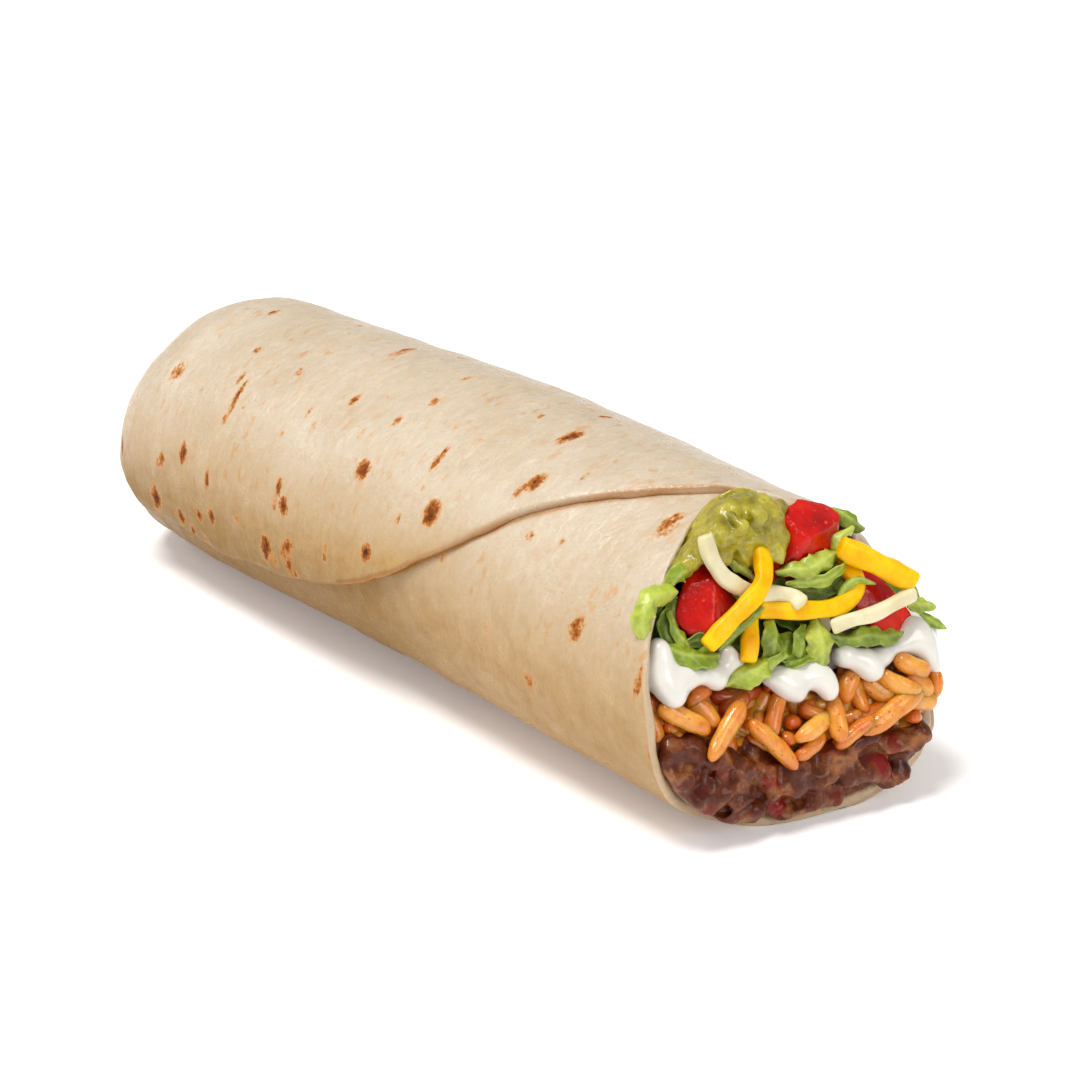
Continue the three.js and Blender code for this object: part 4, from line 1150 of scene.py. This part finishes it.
def grain_shape(start, end, rng):
    """A cooked long grain from end to end: a little bent, with blunt ends."""
    axis = unit(end - start)
    side = unit(np.cross(axis, rng.normal(size=3)))
    up = np.cross(axis, side)
    u = -np.cos(math.pi * np.linspace(0.02, 0.98, GRAIN_ROWS))[:, None]
    around = 2 * math.pi * np.arange(GRAIN_COLUMNS)[None, :] / GRAIN_COLUMNS
    blunt = rng.uniform(2.6, 5.2)
    radius = rng.uniform(1.3, 1.62) * (1 - np.abs(u) ** blunt) ** 0.5
    radius = radius * (1 + 0.2 * u * rng.uniform(-1, 1))
    for groove in GROOVE_ANGLES:
        radius = radius * (1 - 0.06 * bell(around, groove, 0.5))
    bend = rng.uniform(-0.7, 0.7) * (1 - u * u)
    centre = (start + end) / 2 + (end - start) / 2 * u
    points = swept(centre, side, up, radius * np.cos(around),
                   GRAIN_DEPTH * radius * np.sin(around) + bend).reshape(-1, 3)
    swell = lumps(points, [0.16, 1.9, 71], [0.05, 0.9, 74])
    points += swell[:, None] * unit(points - np.repeat(centre, GRAIN_COLUMNS, axis=0))
    paler = np.repeat(1 - np.abs(u) ** 2.5, GRAIN_COLUMNS, axis=1).ravel()
    faces = tube_faces(GRAIN_ROWS, GRAIN_COLUMNS)
    return np.concatenate([points, [start, end]]), faces, np.append(paler, [0, 0])


def make_rice():
    rng = np.random.default_rng(11)
    heap = Heap()
    for row in GRAINS:
        depth = (row[2] + row[5]) / 2
        points, faces, paler = grain_shape(on_face(*row[:3]), on_face(*row[3:]), rng)
        # Grains that lie deeper get a darker tone: painted shade.
        tone = 0.3 + 0.14 * depth + rng.uniform(-0.22, 0.26) + 0.24 * paler
        heap.add(points, faces, tone=np.clip(tone + 0.2 * lumpiness(points, 2.2, 75), 0, 1))
    for _ in range(MORE_GRAINS):
        y = rng.uniform(-21.5, 20.5)
        z = rng.uniform(BEANS_TOP(y) - 0.4, RICE_TOP(y))
        centre = on_face(y, z, rng.uniform(-4.2, -1.9))
        a, b, c = rng.normal(size=3)
        half = unit(a * FACE_RIGHT + 0.8 * b * FACE_UP + 0.3 * c * FACE_OUT) * rng.uniform(3.2, 4.4)
        points, faces, _ = grain_shape(centre - half, centre + half, rng)
        if mouth_distance(points, 0).max() < 0.3:
            heap.add(points, faces, tone=rng.uniform(0.26, 0.66))
    # The bed behind the grains, which runs back into the roll, has a dark tone: painted shade in the
    # gaps.
    grid = space((BACK - 1, -26, 9), (174, 26, 26), STEP)
    field = layer_distance(grid, BEANS_TOP, RICE_TOP, 3.6, 1.2)
    field += 0.7 * np.abs(lumpiness(grid, 2.6, 72)) - 0.25 + 0.3 * lumpiness(grid, 1.5, 73)
    field = blend_max(field, mouth_distance(grid, 0.1), 0.4)
    heap.add(*surface_of(field, grid[0, 0, 0], STEP, 1), tone=0.1)
    heap.finish("rice_grains", rice_look(), "rice")


# Leaves: places [y, z, out] along the middle, half widths at the start, middle and end,
# then twist, cup, frill and tone; the deep leaves' low tone is painted shade.
LEAVES = [
    ([[-15.6, 35.7, 1.5], [-19.8, 35.7, 3], [-22.4, 34.1, 3.4], [-23, 31.9, 3], [-22.4, 29.8, 2]],
     [1.4, 1.6, 1], 10, -0.9, 0.2, 0.9),
    ([[-12, 38.2, 1], [-14.3, 38, 1.8], [-15.6, 37, 1.2], [-16.7, 35.4, 0]], [1.1, 1.5, 0.5], -16,
     -0.5, 0.4, 0.72),
    ([[-14.8, 34.8, -0.8], [-17.1, 32.3, -0.4], [-18.2, 30.4, 0], [-17.1, 28.2, 0.4]],
     [1.2, 1.5, 1.2], 20, 0.4, 0.3, 0.34),
    ([[-17, 33.4, 0], [-17.1, 30.8, 1], [-16.1, 28.4, 1.4]], [0.4, 1, 1.2], -30, -0.3, 0.2, 0.6),
    ([[-20.2, 29.3, 1.2], [-17.6, 27.6, 2.4], [-15.5, 27, 2.8], [-12.4, 26.5, 2.6]],
     [0.7, 1.7, 1.7], -22, -0.6, 0.4, 0.6),
    ([[-16, 28.9, 0.8], [-14.1, 29, 1.4], [-11.8, 28, 1.4]], [0.7, 1.2, 0.7], 14, 0.3, 0.25, 0.36),
    ([[-3.9, 31.6, 2.9], [-6.6, 29.8, 2.4], [-9, 28.6, 2], [-11.6, 27.2, 1.4]], [0.4, 0.75, 0.5],
     -20, -0.2, 0.12, 0.42),
    ([[-6.6, 39.2, 1.2], [-5.3, 37.3, 2], [-3.4, 35.4, 1.4]], [0.5, 0.9, 0.3], 20, -0.4, 0.15,
     0.85),
    ([[-6.3, 35.2, 0.6], [-5.6, 32.2, 0.8]], [0.8, 1, 0.8], 0, 0.3, 0.2, 0.4),
    ([[-12.4, 22.4, 1.4], [-9.7, 23.3, 2.6], [-7.1, 23.9, 3], [-4.6, 24.4, 2.6]], [0.3, 2.1, 1.5],
     -24, -0.7, 0.3, 0.86),
    ([[-6.6, 22.9, 2.4], [-4.6, 24, 3.2], [-2, 24.8, 2.6]], [0.5, 0.9, 0.8], 24, -0.5, 0.2, 0.72),
    ([[-1.4, 30.4, 0.4], [-2.5, 27.8, 2], [-3.6, 25.5, 2], [-3.9, 23.9, 1.2]], [0.45, 1.9, 1.4],
     -22, -0.7, 0.3, 0.8),
    ([[1, 27.2, 0.2], [-1.3, 25.3, 1], [-3.1, 24.2, 1]], [1.1, 2, 1.1], 24, 0.5, 0.3, 0.42),
    ([[4.9, 28.9, 1], [4.1, 26.5, 2.8], [3.6, 24.4, 3], [3.2, 22, 2]], [0.6, 2.3, 1], 14, -0.8, 0.3,
     1),
    ([[3.1, 28, 0.8], [1.5, 25.9, 2], [0.4, 23.9, 1.8]], [0.6, 1.7, 1.1], -26, -0.5, 0.3, 0.62),
    ([[3.2, 24.2, 1], [0.4, 23.6, 1.8], [-2.2, 23.4, 1.6]], [1, 1.3, 0.7], 34, 0.4, 0.2, 0.5),
    ([[6.4, 26.2, 0.8], [9.3, 24.9, 1.6], [11.9, 25, 2.4], [14.5, 24.4, 2.6], [18.6, 24.2, 1.6]],
     [0.9, 1.5, 0.7], -30, -0.6, 0.5, 0.52),
    ([[0.4, 35.7, 1.2], [2.5, 35.6, 2.6], [5.2, 35.5, 3.2], [8.4, 36.4, 3], [10.8, 36.7, 2]],
     [0.5, 1.6, 1.1], -18, -0.6, 0.35, 0.86),
    ([[1.4, 34, 1.4], [4.1, 33.6, 2.4], [7, 33.6, 3], [9.5, 34.5, 3], [11.6, 35.4, 2.2]],
     [0.4, 1, 0.6], 18, 0.3, 0.2, 0.7),
    ([[2.8, 33.4, 0], [6.4, 32.2, 0.6], [11, 33.2, 0.4]], [0.9, 1.7, 1], 10, 0.5, 0.3, 0.34),
    ([[8.5, 30.7, 0.6], [10, 31.9, 0.8], [12, 33.4, 0.4]], [0.7, 1.1, 0.7], -14, 0.4, 0.2, 0.26),
    ([[12.9, 42.6, 0.2], [14, 41.3, 1.2], [15.3, 40, 1.2], [16.7, 39, 0.6]], [0.5, 1.2, 0.5], -14,
     -0.5, 0.4, 0.5),
    ([[14.6, 39.6, 1.6], [12.1, 38.9, 2.2], [10.9, 37.4, 2.2], [11.7, 35.5, 1.4]], [0.5, 0.9, 0.5],
     18, -0.5, 0.4, 1),
    ([[8.7, 30.9, 2.6], [10.2, 32.2, 3.4], [11.8, 32.7, 3.8], [14.8, 31.6, 3.2]], [0.4, 0.65, 0.15],
     -24, -0.2, 0.12, 0.74),
    ([[20.6, 27.6, 1], [22.4, 27.5, 2], [24.7, 26.7, 1.6]], [0.8, 1.2, 0.6], -20, -0.4, 0.45, 0.86),
    ([[22.2, 26.4, 0.8], [23.7, 24.9, 1.4], [25.9, 23.6, 1]], [0.3, 0.8, 0.2], 16, 0.2, 0.15, 0.7),
    ([[-10, 27.6, -1.4], [-5.4, 26.2, -0.4], [-1.4, 26, -1.4]], [1.6, 2.2, 1.6], 0, 0.4, 0.4, 0.16),
    ([[-15.6, 36, -1.4], [-18.2, 33, -1.2], [-19, 29.6, -1.8]], [1.6, 2.2, 1.6], 0, 0.4, 0.4, 0.15),
    ([[-0.4, 30.2, -1.2], [3.6, 29.2, -0.2], [7.6, 29.6, -1.2]], [1.6, 2.2, 1.6], 0, 0.5, 0.4,
     0.06),
    ([[8.6, 27.8, -1], [13.2, 27.4, 0.2], [18.4, 26.8, -0.8]], [1.4, 1.9, 1.4], 12, 0.5, 0.5, 0.2),
    ([[-2, 34, -1.4], [1.4, 32.6, -0.4], [4.8, 31.4, -1.4]], [1.5, 2, 1.5], 0, 0.4, 0.4, 0.16),
    ([[8.6, 36.4, -1.6], [12.4, 34.8, -0.4], [15.4, 34.4, -1.4]], [1.4, 1.9, 1.4], 0, 0.5, 0.4,
     0.3),
    ([[19, 32, -1.2], [21, 30.2, 0.2], [22.8, 28.4, -0.6]], [1, 1.6, 1.2], 16, 0.5, 0.5, 0.4),
    ([[-8.6, 36.4, -2], [-6.6, 33.6, -1.2], [-4, 31.4, -1.6]], [1.6, 2, 1.6], 0, 0.4, 0.4, 0.1),
    ([[14.6, 37, -4.4], [18.2, 33.6, -4.4], [20.8, 30.2, -4.2]], [0.9, 1.5, 1.1], 12, 0.4, 0.3,
     0.5),
]
LEAF_ROWS = 44
LEAF_COLUMNS = 17
LEAF_HALF_THICK = 0.16
LEAF_SWAY = 14  # degrees that a leaf sways by along its length
VEIN_GAP = 1.5
CURVE_STEPS = 24  # steps between two places of a smooth curve


def curve_points(places, shares):
    """Points at these shares of the way along a smooth curve through places on the face."""
    places = line_on_face(places)
    ends = np.array([2 * places[0] - places[1], *places, 2 * places[-1] - places[-2]])
    t = np.linspace(0, 1, CURVE_STEPS, endpoint=False)[:, None]
    fine = []
    for p0, p1, p2, p3 in zip(ends, ends[1:], ends[2:], ends[3:]):
        fine.append(0.5 * (2 * p1 + (p2 - p0) * t + (2 * p0 - 5 * p1 + 4 * p2 - p3) * t ** 2
                           + (3 * p1 - p0 - 3 * p2 + p3) * t ** 3))
    fine = np.concatenate([*fine, places[-1:]])
    length = lengths_along(fine)
    at = shares * length[-1]
    return np.stack([np.interp(at, length, fine[:, k]) for k in range(3)], -1), length[-1]


def frames_along(points, twist):
    """Tangent, across and outward directions along a curve on the face."""
    tangent = unit(np.gradient(points, axis=0))
    out = unit(FACE_OUT - tangent * (tangent @ FACE_OUT)[:, None])
    across = np.cross(out, tangent)
    t = np.radians(twist)[:, None]
    return tangent, np.cos(t) * across + np.sin(t) * out, np.cos(t) * out - np.sin(t) * across


def leaf_faces():
    """Quads round a leaf's two sides, and over its two ends."""
    j = np.arange(LEAF_COLUMNS - 1)
    other_side = 2 * LEAF_COLUMNS - 1 - j
    cap = np.stack([j, j + 1, other_side - 1, other_side], -1)
    last_row = (LEAF_ROWS - 1) * 2 * LEAF_COLUMNS
    return [grid_faces(LEAF_ROWS, 2 * LEAF_COLUMNS), cap[:, ::-1], cap + last_row]


def leaf_shape(places, halves, twist, cup, frill, rng):
    """A thin leaf along a curve, cupped, with faint veins and a wavy edge."""
    t = np.linspace(0, 1, LEAF_ROWS)
    spine, length = curve_points(places, t)
    sway = np.sin(2 * math.pi * (t * rng.uniform(0.5, 1) + rng.random()))
    _, across, out = frames_along(spine, twist + LEAF_SWAY * sway)
    v = np.linspace(-1, 1, LEAF_COLUMNS)[None, :]
    far = np.abs(v)
    phase = rng.uniform(0, 2 * math.pi, 4)
    along = (2 * math.pi * t * length)[:, None]
    half = curve_through([[0, halves[0]], [0.5, halves[1]], [1, halves[2]]])(t)[:, None]
    half = half * (1 - np.abs(2 * t - 1) ** 9)[:, None] ** 0.5
    edges, waves = [], []
    for first, second in (phase[:2], phase[2:]):
        edges.append(1 + 0.13 * np.sin(along / 4.4 + first) + 0.06 * np.sin(along / 1.7 + second))
        waves.append(np.sin(along / 3.2 + second))
    reach = half * v * np.where(v < 0, *edges)
    wave = np.where(v < 0, *waves)
    middle = bell(reach, 0, 0.28)
    veins = np.abs(np.mod((along / (2 * math.pi) - np.abs(reach) * 0.9) / VEIN_GAP, 1) - 0.5)
    vein = bell(veins, 0.5, 0.1) * (1 - 0.5 * far)
    lift = cup * v ** 2 + frill * far ** 2.2 * wave + 0.16 * middle + 0.05 * vein
    points = swept(spine, across, out, reach, lift)
    points += 0.22 * lumpiness(points, 2.6, 81)[..., None] * out[:, None, :]
    normal = unit(np.cross(np.gradient(points, axis=1), np.gradient(points, axis=0)))
    thick = normal * LEAF_HALF_THICK * (1 - 0.5 * far[..., None] ** 4)
    ring = np.concatenate([points + thick, (points - thick)[:, ::-1]], axis=1)
    rib = np.clip(0.7 * middle + 0.4 * vein + 0.6 * rise(far, 0.78, 0.22), 0, 1)
    rib = np.concatenate([rib, rib[:, ::-1]], axis=1).ravel()
    return ring.reshape(-1, 3), rib


def make_salad():
    rng = np.random.default_rng(23)
    heap = Heap()
    faces = leaf_faces()
    for *shape, tone in LEAVES:
        points, rib = leaf_shape(*shape, rng)
        # Darker, deeper leaves are painted shade, and their ribs and edges are fainter too.
        mottled = np.clip(tone + 0.14 * lumpiness(points, 2.5, 82), 0, 1)
        heap.add(points, faces, tone=mottled, rib=rib * (0.25 + 0.75 * tone))
    # The bed behind the leaves, which runs back into the roll, has the darkest tone: painted shade
    # in the gaps.
    grid = space((BACK - 1, -26, 20), (170, 26, 47), SALAD_STEP)
    field = layer_distance(grid, CREAM_TOP, SALAD_TOP, 4.6, 1.5)
    field += 1.6 * np.abs(lumpiness(grid, 4.4, 83)) - 0.6 + 0.5 * lumpiness(grid, 2.2, 84)
    field = blend_max(field, mouth_distance(grid, -0.4, -0.8), 0.6)
    heap.add(*surface_of(field, grid[0, 0, 0], SALAD_STEP, 1), tone=0.0, rib=0.0)
    heap.finish("lettuce_leaves", lettuce_look(), "salad")


# Tomato pieces: the corners of each, [y, z, out].
TOMATOES = {
    "tomato_1": [
        [7.4, 44.7, -0.5], [11.7, 43.5, -1], [13.7, 42.1, 0.3], [12.9, 41, 1.6], [5.8, 39.4, 3.4],
        [4, 42.6, 0.8], [2.4, 36.7, 0.8], [4.6, 35.3, 1.2], [8, 35.2, 0.6], [11.4, 38.3, 0.8],
        [9.8, 43.6, -4.5], [15.5, 41.5, -4.5], [12.2, 36.1, -4.5], [6.9, 36.6, -4.5]],
    "tomato_2": [
        [-8.6, 39, -0.6], [-11.7, 38.3, -0.6], [-15, 34.9, 0], [-16.4, 31.9, 0], [-14.5, 29.2, 0.8],
        [-9.9, 36.3, 2.6], [-12.3, 30, 2.8], [-5.9, 34.3, -0.2], [-6.4, 31.5, -0.2],
        [-8.6, 29.1, -0.2], [-9.4, 37, -4.5], [-4.3, 34.3, -4.5], [-10.3, 29.8, -4.5]],
    "tomato_3": [
        [14.1, 34, 0], [16.2, 33.5, 0], [18.2, 31.3, 0.4], [19.6, 28.9, 0.8], [21, 26, 0.8],
        [19.7, 24.3, 0.8], [16.7, 23.9, 1.2], [13.8, 25.6, 1.2], [11.9, 29.1, 1], [12, 31.5, 0.5],
        [15.5, 28.7, 2], [16.9, 32.1, -3.4], [21.9, 27, -3.4], [17.9, 25.5, -3.4]],
    "tomato_4": [
        [-2.6, 37.3, -0.6], [4.7, 36.7, -0.8], [4.1, 34.4, -0.4], [0.2, 33.4, -0.6],
        [-3.1, 34.5, -0.6], [-0.2, 36.4, -4], [5.6, 35.7, -4], [2, 34.1, -4]],
}


def hull_sides(corners):
    """The planes that wrap a set of corners: outward directions and distances."""
    sides = []
    for i, j, k in itertools.combinations(range(len(corners)), 3):
        way = unit(np.cross(corners[j] - corners[i], corners[k] - corners[i]))
        reach = (corners - corners[i]) @ way
        if reach.max() > 1e-6:
            way, reach = -way, -reach
        if reach.max() < 1e-6 < np.ptp(reach):
            sides.append((way, corners[i] @ way))
    return sides


def make_tomatoes():
    look = tomato_look()
    for seed, (name, places) in enumerate(TOMATOES.items()):
        corners = line_on_face(places)
        grid = space(corners.min(axis=0) - 1, corners.max(axis=0) + 1, TOMATO_STEP)
        field = np.full(grid.shape[:3], -9.0)
        for way, distance in hull_sides(corners):
            field = blend_max(field, grid @ way - distance - 0.2, 0.35)
        field += lumps(grid, [0.16, 3, 90 + seed], [0.07, 1.1, 95 + seed])
        piece_from(field, grid, TOMATO_STEP, name + "_dice", look, "tomato", name, 1)


# Cheese shreds: [y, z, out] places along each, its width and thickness, its twist in the
# middle, and how much it twists from end to end.
CHEDDAR = {
    "cheddar_1": ([
        [-1.6, 39.2, 2.4], [-2.6, 36.9, 3.6], [-3.4, 35.4, 4.4], [-5.1, 33.8, 4.8],
        [-7.8, 32.2, 4.8], [-10.7, 30.6, 4.6], [-14.6, 28.1, 3.8]], 2.7, 2.1, 0, 40),
    "cheddar_2": ([
        [-3.8, 31.4, 1.4], [-0.2, 30.5, 2.2], [3.7, 29.9, 2.4], [7.8, 29.6, 2.4], [10.5, 30.4, 2.6],
        [12.1, 31.7, 2.6], [12.2, 33.3, 2.2], [12.1, 34.8, 1.2], [12.4, 36.8, 0.2]],
        2.7, 2, 0, -20),
    "cheddar_3": ([
        [-4.9, 30.9, 0.8], [-6.5, 28.3, 2], [-7.6, 26.4, 2.6], [-8.4, 24.9, 2.8]], 2.5, 2, 10, 20),
    "cheddar_4": ([
        [10.6, 37.5, 3.2], [15.6, 34, 4.4], [20.4, 30.8, 4.6]], 3.4, 2.7, 26, 0),
}
WHITE_CHEESE = {
    "white_cheese_1": ([
        [-10.8, 42.4, 4.6], [-10.7, 39.7, 4.4], [-9.6, 37.1, 3.8], [-7.4, 35.2, 3],
        [-4.1, 33.6, 2.2], [-0.7, 33, 1.9], [1.3, 32.2, 2.6], [1.8, 31, 4]], 2.4, 1.8, 0, 30),
    "white_cheese_2": ([
        [6.5, 27.1, 2.4], [8.9, 27.6, 4.2], [12.2, 27.8, 4.8], [15.7, 28.5, 4.8], [19.8, 29.4, 4.6]],
        2.2, 1.8, 10, 20),
    "white_cheese_3": ([
        [8.3, 33.4, -0.8], [7.5, 29.8, -0.6], [6.7, 26.4, -0.4]], 2, 1.7, 0, 10),
}
SHRED_ROWS = 72
SHRED_COLUMNS = 24
SHRED_ROUNDING = 0.5  # the cut ends are rounded over this far


def shred_shape(places, wide, thick, twist, more_twist, seed):
    """A cheese shred: a soft-cornered strip with rounded cut ends, a little uneven."""
    shares = 0.5 - 0.5 * np.cos(math.pi * np.linspace(0, 1, SHRED_ROWS))
    path, length = curve_points(places, shares)
    tangent, across, out = frames_along(path, twist + more_twist * (shares - 0.5))
    angle = 2 * math.pi * np.arange(SHRED_COLUMNS) / SHRED_COLUMNS
    a = signed_power(np.cos(angle), 0.62) * wide / 2
    b = signed_power(np.sin(angle), 0.66) * thick / 2
    from_end = np.minimum(shares, 1 - shares) * length
    short = 1 - np.clip(from_end / SHRED_ROUNDING, 0, 1)
    size = 0.66 + 0.34 * np.sqrt(1 - short ** 2)
    size = size * (1 + 0.06 * np.sin(2 * math.pi * (shares * length / 7 + 0.3 * seed)))
    size = size[:, None]
    points = swept(path, across, out, size * a, size * b).reshape(-1, 3)
    points += 0.08 * lumpiness(points, 1.9, 100 + seed)[:, None]
    tips = [points[:SHRED_COLUMNS].mean(axis=0) - 0.05 * tangent[0],
            points[-SHRED_COLUMNS:].mean(axis=0) + 0.05 * tangent[-1]]
    return np.concatenate([points, tips]), tube_faces(SHRED_ROWS, SHRED_COLUMNS)


def make_cheese(shreds, slot, dark, light, radius):
    look = cheese_look(slot, dark, light, radius)
    for seed, (name, shape) in enumerate(shreds.items()):
        points, faces = shred_shape(*shape, seed)
        add_piece(name + "_shred", points, faces, look, name, {})


# ---- The camera, the lights and the floor ----

CAMERA_AZIMUTH = 50.755
CAMERA_ELEVATION = 21.5
CAMERA_DISTANCE = 386.4
CAMERA_TARGET = (104.23, 0, 24.91)
CAMERA_LENS = 79.25

# Round soft lamps: azimuth and elevation, width in metres, power in watts, and colour.
LAMPS = {
    "key": (-12, 72, 1.2, 70, (1, 0.985, 0.965)),
    "fill": (85, 32, 1.6, 24, (1, 0.995, 0.99)),
    "side": (-60, 33, 0.9, 10, (1, 0.995, 0.99)),
}
LAMP_DISTANCE = 3.0  # metres from LAMP_TARGET
LAMP_TARGET = (0, 0, 0.02)
WORLD_STRENGTH = 0.42
FLOOR_HALF = 3.0  # metres
FLOOR_GAP = 0.0002  # metres that the floor lies below the burrito


def direction(azimuth, elevation):
    """Toward a viewer: azimuth 0 is on the -Y side and 90 on the +X side."""
    a, e = math.radians(azimuth), math.radians(elevation)
    return Vector((math.sin(a) * math.cos(e), -math.cos(a) * math.cos(e), math.sin(e)))


def add_looking(name, data, target, back, distance):
    """A camera or lamp that looks at a target from some metres back."""
    made = bpy.data.objects.new(name, data)
    bpy.context.scene.collection.objects.link(made)
    made.location = target + back * distance
    made.rotation_mode = "QUATERNION"
    made.rotation_quaternion = (-back).to_track_quat("-Z", "Y")
    return made


def add_camera():
    target = Vector((np.array(CAMERA_TARGET) + SHIFT) / 1000)
    back = direction(CAMERA_AZIMUTH, CAMERA_ELEVATION)
    data = bpy.data.cameras.new("camera")
    camera = add_looking("camera", data, target, back, CAMERA_DISTANCE / 1000)
    data.lens = CAMERA_LENS
    data.sensor_width = 36
    data.clip_start = 0.01
    bpy.context.scene.camera = camera


def add_lamps():
    for name, (azimuth, elevation, width, power, colour) in LAMPS.items():
        data = bpy.data.lights.new(name, "AREA")
        data.shape = "DISK"
        data.size = width
        data.energy = power
        data.color = colour
        back = direction(azimuth, elevation)
        add_looking(name, data, Vector(LAMP_TARGET), back, LAMP_DISTANCE)


def add_studio():
    scene = bpy.context.scene
    scene.view_settings.view_transform = "Standard"
    world = bpy.data.worlds.new("studio")
    world.use_nodes = True
    background = world.node_tree.nodes["Background"]
    background.inputs["Color"].default_value = (1, 1, 1, 1)
    background.inputs["Strength"].default_value = WORLD_STRENGTH
    scene.world = world
    mesh = bpy.data.meshes.new("floor")
    corners = [(x * FLOOR_HALF, y * FLOOR_HALF, -FLOOR_GAP)
               for x, y in ((-1, -1), (1, -1), (1, 1), (-1, 1))]
    mesh.from_pydata(corners, [], [(0, 1, 2, 3)])
    # The floor glows a little, so that it stays white as in the photograph.
    look = Look("floor", (250.46, 250.46, 250.46), 0.8, 0.2)
    look.shader.inputs["Emission Color"].default_value = (1, 0.97, 1, 1)
    look.shader.inputs["Emission Strength"].default_value = 0.2
    mesh.materials.append(look.material)
    floor = bpy.data.objects.new("floor", mesh)
    scene.collection.objects.link(floor)


add_camera()
add_lamps()
add_studio()
make_tortilla()
make_beans()
make_rice()
make_cream()
make_salad()
make_guacamole()
make_tomatoes()
make_cheese(CHEDDAR, "yellow_cheese", (242, 170, 0), (252, 200, 0), (1.2, 0.6, 0.03))
make_cheese(WHITE_CHEESE, "white_cheese", (214, 203, 160), (228, 220, 186), (1.2, 1, 0.7))
